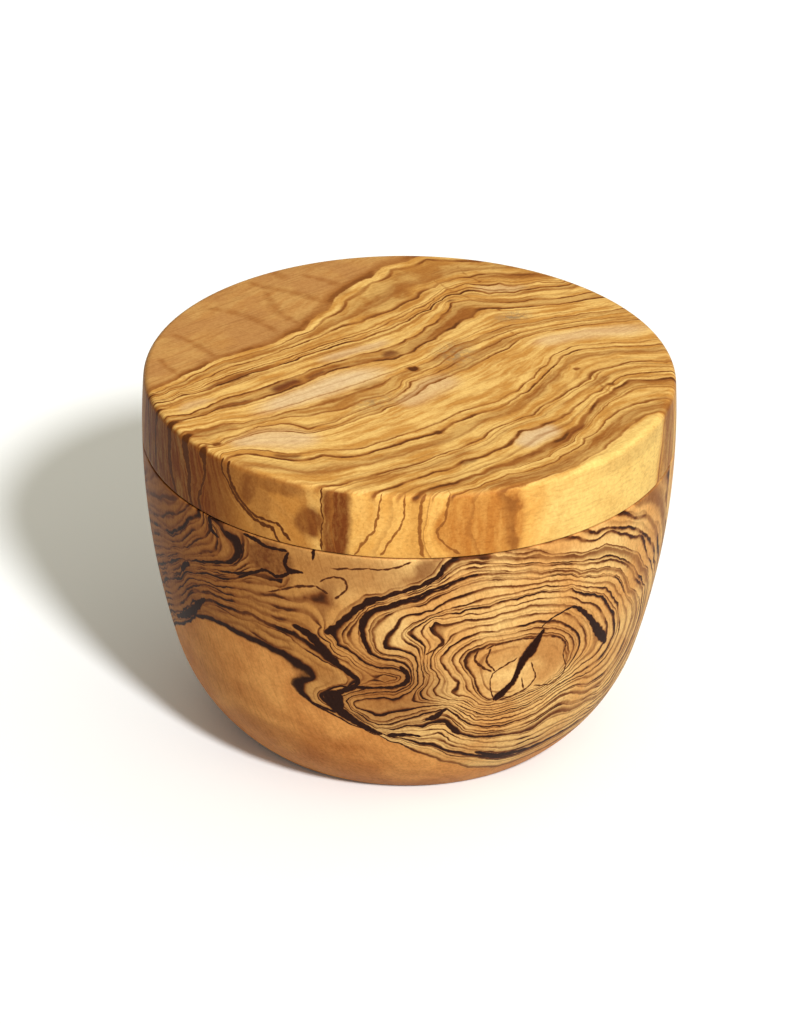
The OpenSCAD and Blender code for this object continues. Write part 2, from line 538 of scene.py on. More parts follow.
        here = luck(ring)
        after = luck(self.calc("ADD", ring, 1))
        fading = self.times(self.fade(within, 0.0, soft, 1.0, 0.0), here)
        rising = self.times(self.fade(within, 1.0 - thin, 1.0, 0.0, 1.0), after)
        return self.calc("MAXIMUM", fading, rising)

    def streak(self, level, place, below, above, strength):
        """One dark streak where the level passes a place, with its own softness on either side."""
        gap = self.calc("SUBTRACT", level, place)
        far = self.darkest(self.times(gap, 1 / above), self.times(gap, -1 / below))
        return self.fade(far, 0.15, 1.0, strength, 0.0)

    def streaks(self, levels, rows):
        """Many streaks, which take their levels in turn."""
        return self.darkest(*[
            self.streak(levels[i % len(levels)], *row) for i, row in enumerate(rows)
        ])

    def drifting(self, level, point, size):
        """A slow drift, and a level with two copies of it that drift to either side."""
        drift = self.calc("SUBTRACT", self.noise(point, size, 1, shift=(9, 50, 7)), 0.5)
        return drift, (level, self.scaled(drift, 1.6, level), self.scaled(drift, -1.6, level))

    def colours(self, value, *stops):
        """A run of colours, each at its place between 0 and 1."""
        node = self.add("ShaderNodeValToRGB", value)
        elements = node.color_ramp.elements
        elements[0].position, elements[0].color = stops[0][0], (*stops[0][1], 1)
        elements[1].position, elements[1].color = stops[-1][0], (*stops[-1][1], 1)
        for place, colour in stops[1:-1]:
            elements.new(place).color = (*colour, 1)
        return node.outputs["Color"]

    def mixed(self, share, first, second, blend="MIX"):
        node = self.add("ShaderNodeMix", share, data_type="RGBA", blend_type=blend)
        for socket, colour in zip(node.inputs[6:8], (first, second)):
            from_node = isinstance(colour, bpy.types.NodeSocket)
            feed(self.tree, socket, colour if from_node else (*colour, 1))
        return node.outputs[2]

    def grained(self, wood, point, turn, size, pores, pore_colour):
        """The wood with fibres along its grain and fine pores laid over it, and the fibres."""
        fibre = self.noise(self.stretched(point, turn, size), 1.0, 3, 0.6)
        wood = self.mixed(self.fade(fibre, 0.45, 0.75, 0.0, 0.25), wood, (0.30, 0.14, 0.05), "MULTIPLY")
        grain = self.noise(point, 0.7, 2, 0.7)
        wood = self.mixed(self.fade(grain, 0.35, 0.65, 0.0, pores), wood, pore_colour, "MULTIPLY")
        return wood, fibre

    def finish(self, colour, roughness, height, depth):
        """The oiled surface: colour, gloss and the fine relief of the sanded wood."""
        surface = self.add("ShaderNodeBsdfPrincipled", colour)
        bump = self.add("ShaderNodeBump", 1.0, depth)
        feed(self.tree, bump.inputs["Height"], height)
        feed(self.tree, surface.inputs["Roughness"], roughness)
        feed(self.tree, surface.inputs["Specular IOR Level"], 0.05)
        feed(self.tree, surface.inputs["Normal"], bump.outputs[0])
        self.add("ShaderNodeOutputMaterial", surface.outputs[0])
        return surface


def bowl_skin(azimuth, height):
    """Point in millimetres on the bowl's outside, at an azimuth from the front and a height."""
    if height >= side_centre[1] + side_r * math.sin(math.radians(heel_meets)):
        across = side_centre[0] + math.sqrt(side_r ** 2 - (height - side_centre[1]) ** 2)
    else:
        across = heel_centre[0] + math.sqrt(heel_r ** 2 - (height - heel_z) ** 2)
    a = math.radians(azimuth)
    return (across * math.sin(a), -across * math.cos(a), height)


# The main growth lines on the bowl's side: a level, and the azimuths and heights it runs through.
bowl_growth = (
    (0, (-90, 19.5), (-80, 23.3), (-70, 28), (-62, 32), (-56, 36), (-51, 37.4), (-43, 37.3),
     (-35, 36.8), (-29, 35.8), (-25, 33.8), (-22, 32.4), (-25, 31.3), (-27.2, 29.3), (-26, 27.3),
     (-22, 25.2), (-16, 22.9), (-10, 20.6), (-6, 19.4), (-2, 17.2), (3, 14.6), (10, 11.3), (18, 7.6),
     (28, 5.3), (40, 6.3), (53, 7.5), (66, 7.5), (80, 6)),
    (3, (-90, 22.3), (-80, 26.2), (-70, 30.6), (-63, 33.9), (-58, 37.5), (-54, 40.8), (-50, 42.4),
     (-42, 43.7), (-36, 44), (-30, 43.1), (-25, 42.5), (-21, 40.1), (-16, 36.8), (-12.4, 34.7),
     (-11, 33), (-13, 31), (-17.5, 29.8), (-20, 28.2), (-18, 26), (-14, 24), (-10, 21.9), (-6.5, 20.4),
     (-3, 19), (3, 17.6), (10, 15.2), (15, 13.2), (20, 11.8), (25, 10.2), (31, 9), (37, 9.1),
     (44, 10.6), (54, 11.5), (66, 12), (78, 13), (84, 20), (84, 30), (81, 40), (77, 49), (72, 56),
     (66, 60.5), (58, 63)),
    (5, (-90, 25.5), (-80, 29), (-70, 33.6), (-63, 37.4), (-58.5, 41.4), (-55, 44), (-49, 46),
     (-40, 46.9), (-30, 47), (-22, 46.9), (-19, 45.4), (-17, 42.2), (-13, 39), (-9, 36.2), (-5, 35.3),
     (-2.3, 34.6), (-5, 33.7), (-9, 33.1), (4, 19.4), (8, 20.2), (10.5, 18.6), (14, 16.6), (20, 14.6),
     (26, 12.8), (34, 13), (43, 14), (54, 14.5), (66, 15.6), (75, 19), (79, 26), (77.5, 36), (72, 44),
     (67, 50), (62, 56), (53, 60.2), (44, 61.8)),
    (8, (-90, 29.5), (-80, 33.2), (-70, 38), (-65, 40.6), (-60, 43.7), (-57, 46.2), (-52, 48),
     (-45, 49.9), (-40, 51.5), (-36, 53.4), (-32, 54.5), (-28, 54.3)),
    (8, (9, 62.2), (6.5, 58.8), (3, 57.2), (-1, 55.7), (-5, 54), (-9, 51.7), (-12, 49.2), (-15, 46.5),
     (-17.6, 44.4), (-15, 41.8), (-12, 40), (-9, 37.9), (-5, 36.9), (-1.5, 36.2), (0, 35.4), (0.2, 34),
     (-1.5, 32.9), (-5, 32.2), (-9, 31.7), (-12, 30.3), (-14.5, 28.8), (-15.3, 27), (-13.5, 25),
     (-10, 22.8), (-7, 21.2), (-3, 20.9), (0.5, 21.9), (4, 21.8), (8.5, 22.9), (11.2, 21.6),
     (13.2, 19.2), (17, 17.9), (22, 17), (28, 16.6), (34, 16.5), (40, 18.2), (46, 17.6), (54, 17),
     (62, 17.6), (70, 22), (73.5, 30), (71.5, 38), (67, 43.5), (61, 49), (54, 54), (47, 57.7), (38, 59),
     (32, 59.8), (24, 61.4), (16, 62.2)),
    (11, (-90, 33), (-80, 37), (-70, 42), (-64, 45.5), (-60, 47.6), (-55, 49.7), (-50, 51.3), (-45, 53),
     (-41, 54.5), (-39, 56.5), (-37.7, 58.7), (-38.5, 60.5), (-43, 61.3), (-47, 63)),
    (11, (17, 58.8), (13, 58.6), (10, 57.6), (5, 56), (0, 53.7), (-4, 52), (-7.3, 50.8), (-9, 48.8),
     (-9.6, 45.5), (-9, 43), (-7.6, 40.3), (-4, 39.2), (-1, 38.4), (0.6, 37), (1.2, 35), (0.8, 33),
     (-1.5, 31.7), (-5, 31), (-9, 30.2), (-12.5, 29), (-14, 27.4), (-12.5, 25.2), (-9, 23), (-6, 21.9),
     (-3, 22.4), (1, 24), (4.5, 25.3), (8, 26), (10, 26.1), (12.5, 24.4), (15, 22.2), (18, 20.9),
     (22, 20.3), (28, 20.1), (32, 20.5), (36, 21.8), (40, 23.4), (46, 22.3), (53, 20.8), (60, 22.5),
     (65, 27), (66.5, 33), (64, 38), (58.5, 42.7), (55.5, 46.8), (52, 50.3), (46, 52), (40, 53.2),
     (36, 55.3), (30, 56.5), (23, 57.7)),
    (14, (-90, 37), (-80, 41.3), (-70, 46), (-65, 48.3), (-61, 50), (-58, 50.6), (-55, 53), (-51, 56),
     (-47.5, 58.3), (-46.2, 60), (-48, 62.6)),
    (14, (22, 55.2), (18, 55.6), (14, 55), (10, 53.7), (5.5, 51.3), (2.5, 50.4), (0, 50), (-1.2, 48.5),
     (-2, 46.8), (-4, 45.3), (-5, 43.5), (-4.5, 41.8), (-1, 41.2), (1.8, 40.2), (2.4, 38.5), (2, 36.5),
     (2.8, 34.5), (2, 32.5), (-0.5, 30.9), (-5, 29.7), (-9, 28.7), (-12, 27.3), (-11.5, 26), (-8, 25.2),
     (-4, 25.4), (0, 26.1), (4, 27), (8.8, 27.1), (11, 26.6), (14, 24.8), (17, 22.8), (21, 21.8),
     (27, 21.8), (32, 22.5), (37, 24.6), (43, 26), (50, 24.6), (57, 27), (60.5, 32), (58.5, 38),
     (55, 43), (50, 48.3), (43, 50.8), (37, 53), (31, 54.5)),
    (17, (-90, 43), (-80, 47), (-72, 50), (-66, 51.5), (-62.3, 52.5), (-61, 54), (-57, 56.5),
     (-54.5, 59.5), (-50, 62.5)),
    (17, (24, 51.8), (18, 50.9), (12, 50.3), (7, 49.8), (3.5, 48.6), (1, 46.8), (0.2, 45.8), (2.5, 44),
     (4, 42.3), (3.8, 39.5), (4.2, 37.5), (5.2, 35.5), (5, 33.5), (3.5, 31.5), (3.8, 29.7), (6, 28.6),
     (9.3, 27.8), (13.5, 26.3), (16, 24.9), (20, 23.6), (26, 23.5), (32, 24.4), (38, 27), (45, 28),
     (52, 28.6), (56, 33), (54, 38.5), (50, 43.6), (45, 47.2), (38, 50.6), (31, 52)),
    (20, (-90, 50), (-80, 54), (-72, 57), (-65, 60), (-58, 62.5)),
    (20, (28, 49.3), (20, 48.9), (13, 48.7), (6.3, 48.4), (5.2, 47), (6.3, 45.2), (8, 43.4),
     (6.3, 41.5), (5.4, 39.5), (5.8, 37), (7, 35), (7.3, 33), (6.2, 31.3), (7, 29.8), (9.6, 28.8),
     (13.5, 27.8), (18, 25.2), (24, 24.8), (31, 25.6), (37, 27.9), (43, 30.2), (48.4, 32.4),
     (47.5, 36.5), (44.5, 41), (40, 45.6), (35, 47.6)),
    (23, (27, 45), (20, 44.8), (14, 44.6), (9.5, 42.3), (7.6, 40), (8, 38), (9.5, 36), (10.5, 34.6),
     (12, 33.3), (11.8, 31.7), (10.6, 30.6), (12.2, 29.2), (17, 26.6), (23, 26), (30, 26.9), (37, 29.4),
     (42.5, 33.5), (42, 38), (38, 42.2), (33, 44.6)),
    (26, (12.8, 38.5), (14.5, 40.8), (19, 42), (25, 41.9), (30, 41.5), (34, 40.6), (37.5, 38.3),
     (38.6, 35.5), (39.4, 32), (37, 29.9), (32, 28.6), (25, 27.2), (20, 27.6), (16.8, 31), (15.6, 33.5),
     (13.6, 36)),
    (28.6, (20, 36), (27, 37), (33, 36), (36, 33), (31, 31), (24, 30.5), (20, 31.5)),
    (7, (-20, 59), (-12, 58.5), (-5, 60.5), (2, 61.5), (-26, 60.5)),
)
# The same where the photograph doesn't show it: low on the sapwood and round the back.
bowl_hidden_growth = (
    (-8, (-60, 14), (-40, 22), (-20, 14), (-90, 8), (10, 4), (-125, 10), (100, 12)),
    (0, (93, 40), (92, 56), (-150, 12), (120, 30), (150, 8)),
    (6, (-125, 30), (110, 56), (135, 44)), (14, (-125, 50), (150, 52), (-160, 25)),
    (26, (172, 36)), (16, (172, 52), (172, 20), (-172, 36), (155, 36)),
)

# What the growth lines alone don't give: thick dark masses in the folds, as chains of
# (azimuth, height, half width), fine brown loops, and the dry crack through the burl's heart.
bowl_masses = (
    ((-25, 44.4, 0.6), (-21.5, 43, 1.2), (-18.5, 39.9, 1.15), (-15.5, 37, 0.9), (-12.5, 34.7, 0.8),
     (-10.7, 33.2, 0.6), (-12.5, 31.2, 0.8), (-16, 29.4, 0.8), (-18.3, 28.5, 1.2), (-17, 26.2, 1.6),
     (-14.3, 23.9, 1.2), (-11.5, 22.2, 0.9), (-8.5, 20.6, 0.8), (-6, 19.7, 0.5)),
    ((-15.9, 29, 1.1), (-15.4, 26, 1.1)),
    ((-21.5, 32.3, 0.5), (-25.5, 31, 0.6), (-27, 29, 0.6), (-25, 26.7, 0.45), (-20, 25.1, 0.35),
     (-17, 24.2, 0.4)),
    ((-1.2, 37.4, 0.4), (0.3, 35.6, 0.6), (0, 33.6, 0.6), (-2.5, 32.3, 0.5), (-7, 31.8, 0.4),
     (-11, 31.6, 0.5)),
    ((-17.6, 44.3, 0.8), (-15.5, 46.2, 0.7), (-12, 49.5, 0.7), (-9, 52.2, 0.55), (-4, 54.5, 0.4),
     (1, 56.3, 0.35), (5.5, 58.2, 0.4), (7.3, 60.3, 0.5), (7.8, 61.8, 0.3)),
    ((-7.7, 40.3, 0.45), (-9.2, 43.5, 0.6), (-9.8, 47.5, 0.6), (-8, 50.4, 0.7), (-4, 52.3, 0.5),
     (0, 53.8, 0.5), (6, 56.2, 0.4), (10.5, 58, 0.4), (15, 59, 0.25)),
    ((5, 23.8, 0.3), (7.2, 24.5, 0.8), (9.5, 26.3, 0.35)),
    ((-3.8, 19.4, 0.8), (0, 19.7, 0.5), (3.5, 19.3, 0.3)),
    ((10, 22.3, 0.35), (13, 19.4, 0.55)),
    ((-59, 45.8, 0.7), (-57.6, 47.6, 0.8), (-55.5, 48.6, 0.4)),
    ((-68, 30.6, 0.5), (-63, 33.2, 0.8), (-59, 35.6, 1.1), (-55.2, 38.5, 1.1), (-52.6, 41, 0.8),
     (-51, 42.3, 0.4)),
    ((-47, 62.8, 0.7), (-46.5, 60.3, 0.6), (-44.5, 59.4, 0.4)),
    ((-42, 61.6, 0.3), (-38.2, 60, 0.4), (-38.2, 57.7, 0.5), (-40.3, 55.3, 0.45), (-46, 53, 0.35),
     (-54, 50.2, 0.3)),
    ((-26, 61.4, 0.3), (-26.8, 59.7, 0.55), (-26.5, 58, 0.5), (-25.7, 57.2, 0.75), (-24.3, 57.5, 0.6),
     (-22.7, 57.4, 0.25)),
    ((-37, 62.6, 0.3), (-33.5, 62.2, 0.5), (-31, 61.5, 0.55), (-26.5, 61.8, 0.35)),
    ((-44, 51.6, 0.3), (-36.6, 53.6, 0.4), (-33, 55.4, 0.45), (-31, 55.8, 0.4), (-29.2, 55.2, 0.4),
     (-27, 55.9, 0.5), (-25.8, 56.8, 0.4)),
    ((-20.2, 63, 0.4), (-20.4, 61.2, 0.35)),
    ((39, 46, 0.35), (42, 44.2, 0.7), (45.5, 40.6, 0.8), (48.5, 37, 1.2), (50.8, 34.6, 1.3),
     (52.3, 32.8, 0.6)),
    ((31, 43.4, 0.22), (34, 45.2, 0.25), (39, 46.2, 0.3)),
    ((19, 13, 0.5), (23, 11.3, 0.75), (28, 10.2, 0.9), (36, 9.9, 0.6), (44, 10.8, 0.4),
     (54, 11.7, 0.35)),
)
bowl_loops = (
    ((-19.5, 55, 0.3), (-17.2, 53.7, 0.45)),
    ((-15.4, 52.9, 0.3), (-13, 55, 0.3), (-13.2, 57.3, 0.35), (-15.8, 57.8, 0.3), (-18.6, 56.2, 0.2)),
    ((-31, 51, 0.25), (-24.5, 53.8, 0.35), (-20, 54.9, 0.4)),
    ((-15.8, 59.7, 0.3), (-8, 60.5, 0.25), (-3, 61, 0.3), (0.5, 62.3, 0.25)),
    ((21.3, 27.3, 0.25), (20.4, 28.8, 0.22), (19.7, 31, 0.2), (20, 34.2, 0.2), (22.5, 35.8, 0.2),
     (25.6, 37, 0.25)),
    ((29.5, 34.9, 0.2), (30.8, 32.5, 0.2), (31, 30.6, 0.2), (29.3, 28.8, 0.25), (25.5, 27.4, 0.3),
     (22.5, 27, 0.3)),
    ((27.5, 31.6, 0.15), (28.5, 29, 0.3)),
    ((34, 40.6, 0.3), (37, 38.9, 0.3), (38.6, 37.2, 0.3), (38, 35, 0.2), (39.6, 31.5, 0.25),
     (38.8, 29, 0.25), (35.5, 27.8, 0.25), (31.5, 28.7, 0.2)),
    ((16, 40.6, 0.3), (15.4, 38.6, 0.35), (17, 36.6, 0.3), (19.6, 34.8, 0.25)),
    ((18.9, 40.5, 0.3), (18, 38.2, 0.35), (19.2, 36.2, 0.3), (20.4, 35, 0.2)),
    ((18, 40.8, 0.25), (22, 41.8, 0.3), (26.5, 41.6, 0.3), (29.5, 41.1, 0.3)),
    ((5, 47.3, 0.3), (6.6, 45.6, 0.3), (8.1, 43.2, 0.35), (6, 41.7, 0.25), (4.3, 40.5, 0.25)),
)
bowl_crack = (
    (31.6, 42.3, 0.4), (30.3, 40.6, 0.8), (29.3, 38.8, 1.5), (28, 37, 1.4), (26.7, 35, 0.95),
    (26, 32.8, 0.7), (25.4, 31, 0.75), (23.8, 29.5, 0.85), (22.2, 28.2, 1.05), (21.4, 27.4, 0.45),
)

# Dark streaks along the growth lines, as (level, softness below, softness above, strength), and
# darker spots as (azimuth, height, size, tilt, near, far, strength): darker wood, save the broad one
# just under the seam at azimuth -12, which is painted shade.
bowl_strong_streaks = (
    (3.0, 0.8, 0.45, 1.0), (8.0, 0.3, 1.1, 1.0), (11.0, 0.35, 0.9, 1.0), (14.0, 0.3, 0.8, 0.9),
    (20.0, 0.3, 0.7, 0.85), (26.0, 0.2, 0.6, 0.85),
)
bowl_slight_streaks = (
    (4.1, 0.25, 0.5, 0.85), (5.1, 0.2, 0.5, 0.85), (6.3, 0.2, 0.5, 0.8), (9.5, 0.2, 0.5, 0.75),
    (12.4, 0.2, 0.5, 0.85), (15.5, 0.2, 0.6, 0.8), (17.0, 0.25, 0.7, 0.95), (18.5, 0.2, 0.5, 0.75),
    (21.4, 0.2, 0.5, 0.7), (23.0, 0.25, 0.7, 0.9), (24.5, 0.2, 0.5, 0.7), (27.4, 0.2, 0.4, 0.5),
)
bowl_dark_spots_and_seam_shade = (
    (-4, 25, (9, 20, 2.6), 14, 0.5, 1.2, 0.6), (-19, 33.5, (5, 20, 3), -30, 0.4, 1.2, 0.5),
    (40, 41, (6, 20, 3), -40, 0.4, 1.2, 0.3), (-12, 59, (17, 20, 5), 0, 0.4, 1.15, 0.55),
    (-2, 31, (12, 20, 11), 0, 0.3, 1.2, 0.8),
)
# Colours of the bowl's wood. The tan and the umber also serve as painted shade: the tan on the left
# side, away from the lamp, and the umber there and under the seam.
honey, amber, tan = (0.96, 0.60, 0.215), (0.80, 0.395, 0.115), (0.56, 0.24, 0.055)
umber_wood_and_shade, burl_brown = (0.38, 0.135, 0.03), (0.18, 0.055, 0.015)
line_brown, line_black = (0.24, 0.072, 0.018), (0.028, 0.010, 0.006)
sap_deep, sap_pale, sap_line = (0.62, 0.22, 0.048), (0.92, 0.43, 0.12), (0.50, 0.17, 0.04)


def bowl_wood():
    """Olive wood cut through a burl: rings round a cracked heart, folds beside it, clean sapwood."""
    w = Figure("bowl_wood")
    point = w.own_point()
    bent = w.warped(point, 5.0, 1.2, detail=1, shift=(40, 0, 0))
    bent = w.warped(bent, 1.5, 0.7, detail=2, shift=(0, 70, 0))
    nearly = w.warped(point, 2.0, 0.9, detail=2, shift=(0, 0, 33))
    level = w.fitted(bent, [
        (bowl_skin(*place), value)
        for value, *places in bowl_growth + bowl_hidden_growth for place in places
    ])
    x = w.parts(bent)[0]
    drift, shifts = w.drifting(level, point, 10)
    sap = w.fade(level, -0.25, 0.25, 1.0, 0.0)

    thickness = w.fade(w.noise(point, 6, 2, shift=(5, 5, 90)), 0.36, 0.60, 0.5, 1.0)
    right_side = w.fade(x, 2, 46, 1.0, 0.5)
    wide_apart = w.darkest(
        w.fade(x, -30, -16, 1.0, 0.0),
        w.spot(point, bowl_skin(12, 61), 12, (24, 20, 7), 0.5, 1.1, 0.8),
    )
    strong_lines = w.streaks(shifts[:2], bowl_strong_streaks)
    strong_lines = w.times(strong_lines, right_side, w.scaled(thickness, 0.3, 0.72))
    strong_lines = w.calc("POWER", strong_lines, w.scaled(wide_apart, 1.8, 1.0))
    slight_lines = w.streaks(shifts, bowl_slight_streaks)
    fine = w.growth_lines(shifts[1], 0.75, 0.15, 0.60, 3.0)
    crowded = w.times(w.growth_lines(shifts[2], 1.05, 0.25, 0.5, 9.0, faint=0.55), wide_apart)
    slight_lines = w.times(w.darkest(slight_lines, fine, crowded), thickness)
    clean_heart = w.spot(point, bowl_skin(29, 34), 29, (9.0, 20, 6.2), 0.8, 1.05, 0.0, 1.0, -12)
    clean_burl = w.spot(nearly, bowl_skin(-29.5, 59.4), -29.5, (6.2, 20, 4.8), 0.8, 1.05, 0.15, 1.0)
    lines = w.times(
        w.darkest(slight_lines, strong_lines), w.calc("SUBTRACT", 1, sap), clean_burl, clean_heart,
    )
    edge_line = w.times(w.streak(level, 0.2, 0.5, 0.8, 1.0), w.fade(x, -8, 10, 1.0, 0.55))
    masses = w.strokes(nearly, bowl_skin, *bowl_masses)
    crack = w.strokes(nearly, bowl_skin, bowl_crack)
    loops = w.times(w.strokes(nearly, bowl_skin, *bowl_loops, full=0.6), 0.75)
    dark = w.darkest(lines, edge_line, masses, loops, crack)

    tone = w.noise(point, 14, 3, shift=(60, 0, 20))
    wood = w.mixed(w.fade(tone, 0.35, 0.65), honey, amber)
    # Darker towards the left, the side away from the lamp: painted shade.
    wood = w.mixed(w.fade(x, -26, 4, 0.85, 0.0), wood, tan)
    round_heart = w.spot(point, bowl_skin(29, 34), 29, (14, 20, 11), 0.3, 1.2, 0.5)
    # Darker spots: mostly darker wood, with painted shade in the broad spot at azimuth -78 over the
    # left side and in the listed spot just under the seam.
    wood_tone_and_painted_shade = w.darkest(
        w.spot(point, bowl_skin(-78, 52), -78, (46, 60, 26), 0.55, 1.15, 0.8),
        *[w.spot(nearly, bowl_skin(azimuth, z), azimuth, size, near, far, strength, tilt=tilt)
          for azimuth, z, size, tilt, near, far, strength in bowl_dark_spots_and_seam_shade],
        w.times(round_heart, w.fade(tone, 0.4, 0.6)),
    )
    wood = w.mixed(wood_tone_and_painted_shade, wood, umber_wood_and_shade)
    brown = w.spot(nearly, bowl_skin(-30.5, 58.8), -30.5, (5.6, 20, 4.2), 0.7, 1.15)
    burl = w.fade(w.noise(point, 1.6, 3, 0.6, shift=(3, 3, 3)), 0.3, 0.7, 0.55, 1.0)
    wood = w.mixed(w.times(brown, burl), wood, burl_brown)
    wood = w.mixed(w.calc("MINIMUM", w.times(dark, 1.6), 1.0), wood, line_brown)
    wood = w.mixed(w.fade(dark, 0.45, 0.9), wood, line_black)
    sap_wood = w.colours(w.noise(point, 12, 4, 0.6), (0.3, sap_deep), (0.7, sap_pale))
    sap_arcs = w.growth_lines(w.scaled(drift, 6.0, level), 3.4, 0.4, 0.6, 5.0)
    sap_wood = w.mixed(w.times(sap_arcs, 0.55), sap_wood, sap_line)
    wood = w.mixed(w.times(sap, w.calc("SUBTRACT", 1, edge_line)), wood, sap_wood)

    wood, fibre = w.grained(wood, point, (0, 70, 20), (6, 0.5, 0.5), 0.22, (0.42, 0.25, 0.14))
    around = w.vector("LENGTH", w.vector("MULTIPLY", point, (1, 1, 0)))
    height = w.vector("DOT_PRODUCT", point, (0, 0, 1))
    tool_marks = w.noise(w.together(around, 0, height), 0.45, 2, 0.6)
    hollow = w.times(
        w.fade(around, hollow_top_r, hollow_top_r + 0.6, 1.0, 0.0),
        w.fade(height, hollow_floor_z - 1.5, hollow_floor_z - 0.2),
    )
    ridges = w.times(w.fade(tool_marks, 0.4, 0.65), w.times(hollow, 0.3))
    wood = w.mixed(ridges, wood, (0.45, 0.25, 0.12), "MULTIPLY")
    rough = w.calc("ADD", w.scaled(fibre, 0.2, 0.40), w.times(hollow, 0.12))
    relief = w.calc("MULTIPLY_ADD", tool_marks, w.scaled(hollow, 1.2, 0.15), fibre)
    w.finish(wood, rough, relief, 0.00002)
    return w.material


bowl_mesh = turned_mesh(
    "turned_bowl", bowl_outline, 360, bowl_wood(),
    crowding=0.7, crowded_side=math.radians(crack_azimuth - 90),
)
bowl = put("turned_bowl", bowl_mesh)
bored(
    bowl,
    (pivot_y, pin_d + 2 * glue_gap, bowl_h - pin_in_bowl - glue_gap, bowl_h + 1),
    (magnet_y, magnet_d + 2 * glue_gap, bowl_h + seam_gap / 2 - magnet_t - glue_gap, bowl_h + 1),
)


def crack_share(azimuth, height):
    """How far into the crack a place on the bowl's side lies: 0 outside it, 1 along its middle."""
    here = Vector((math.radians(azimuth) * box_r, height))
    deepest = 0.0
    for first, last in zip(bowl_crack, bowl_crack[1:]):
        start = Vector((math.radians(first[0]) * box_r, first[1]))
        span = Vector((math.radians(last[0]) * box_r, last[1])) - start
        along = min(1.0, max(0.0, (here - start).dot(span) / span.length_squared))
        half = first[2] + (last[2] - first[2]) * along
        deepest = max(deepest, 1.0 - (here - start - span * along).length / (half * 0.6 + 0.15))
    return deepest


for vertex in bowl.data.vertices:
    across = math.hypot(vertex.co.x, vertex.co.y) / MM
    azimuth = math.degrees(math.atan2(vertex.co.x, -vertex.co.y))
    height = vertex.co.z / MM
    outside = across > hollow_top_r + 2
    if outside and crack_sides[0] < azimuth < crack_sides[1] and crack_span[0] < height < crack_span[1]:
        sunk = min(1.0, 2.0 * crack_share(azimuth, height)) * crack_depth
        vertex.co.x *= 1 - sunk / across
        vertex.co.y *= 1 - sunk / across
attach(bowl, "bowl")
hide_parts("bowl")

# Pivot pin: a ground steel rod, glued upright into a blind hole in the bowl's wall at the back.
# Its ends are bevelled, and fine grinding marks run round it.


def metal(name, bright, dull, scratch, rough, relief):
    """Bare metal: clouds of tarnish, tool marks drawn out to the given sizes, and rubbed spots."""
    m = Figure(name)
    point = m.own_point()
    tarnish = m.fade(m.noise(point, 1.6, 4, 0.6), 0.35, 0.7)
    marks = m.noise(m.stretched(point, (0, 0, 0), scratch), 1.0, 3, 0.65)
    rubbed = m.fade(m.noise(point, 3.0, 2, shift=(7, 30, 2)), 0.52, 0.68, 0.0, 0.7)
    colour = m.mixed(rubbed, m.mixed(tarnish, bright, dull), bright)
    colour = m.mixed(m.fade(marks, 0.45, 0.8, 0.0, 0.35), colour, dull)
    worn = m.scaled(m.calc("ADD", marks, tarnish), 0.12, rough)
    surface = m.finish(colour, worn, marks, relief)
    surface.inputs["Metallic"].default_value = 1.0
    return m.material


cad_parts["pivot_pin"].material_slots[0].material = metal(
    "ground_steel", (0.66, 0.65, 0.63), (0.42, 0.40, 0.37), (3.0, 3.0, 0.12), 0.22, 0.00001,
)

# Pivot washer: a thin nylon ring laid over the pin, which holds the lid just clear of the rim.
# The lid's bush rubs a glossier track into its milky white.


def nylon():
    """Milky nylon with faint clouds and a burnished ring round the pin."""
    m = Figure("milky_nylon")
    point = m.own_point()
    cloud = m.noise(point, 1.2, 3, 0.6)
    middle = (0, pivot_y, bowl_h + seam_gap)
    track = m.fade(m.vector("DISTANCE", point, middle), 2.9, 3.5, 1.0, 0.0)
    colour = m.mixed(m.fade(cloud, 0.35, 0.65), (0.82, 0.79, 0.71), (0.70, 0.66, 0.57))
    colour = m.mixed(m.times(track, 0.35), colour, (0.55, 0.52, 0.46))
    rough = m.scaled(track, -0.2, m.scaled(cloud, 0.15, 0.42))
    surface = m.finish(colour, rough, m.noise(point, 0.25, 2), 0.00001)
    surface.inputs["Specular IOR Level"].default_value = 0.4
    return m.material


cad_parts["pivot_washer"].material_slots[0].material = nylon()

# Rim magnet: a nickel-plated disc, glued into a blind hole in the rim at the front.
# It stands half the seam's gap proud, so that it all but meets the lid's magnet.
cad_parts["rim_magnet"].material_slots[0].material = metal(
    "rim_nickel", (0.72, 0.69, 0.63), (0.50, 0.47, 0.42), (2.5, 0.15, 2.5), 0.16, 0.000006,
)

# Lid: a second piece of olive wood, cut along the grain and turned to the bowl's own diameter.
# Its top edge is softly rounded, and it sits a washer's thickness above the rim.
lid_t = 14.0
lid_z = bowl_h + seam_gap
lid_top_z = lid_z + lid_t
top_round = 1.4
bush_d = 6.66
bush_l = 8.2
pin_headroom = 0.5
under_centre, under_meets = corner_on_side(seam_round, lid_z + seam_round)
top_centre, top_meets = corner_on_side(top_round, lid_top_z - top_round)
lid_outline = joined(
    line_points((0, lid_z), (under_centre[0], lid_z), 14),
    arc_points(under_centre, seam_round, -90, under_meets, 5),
    arc_points(side_centre, side_r, under_meets, top_meets, 14),
    arc_points(top_centre, top_round, top_meets, 90, 9),
    line_points((top_centre[0], lid_top_z), (0, lid_top_z), 14),
)


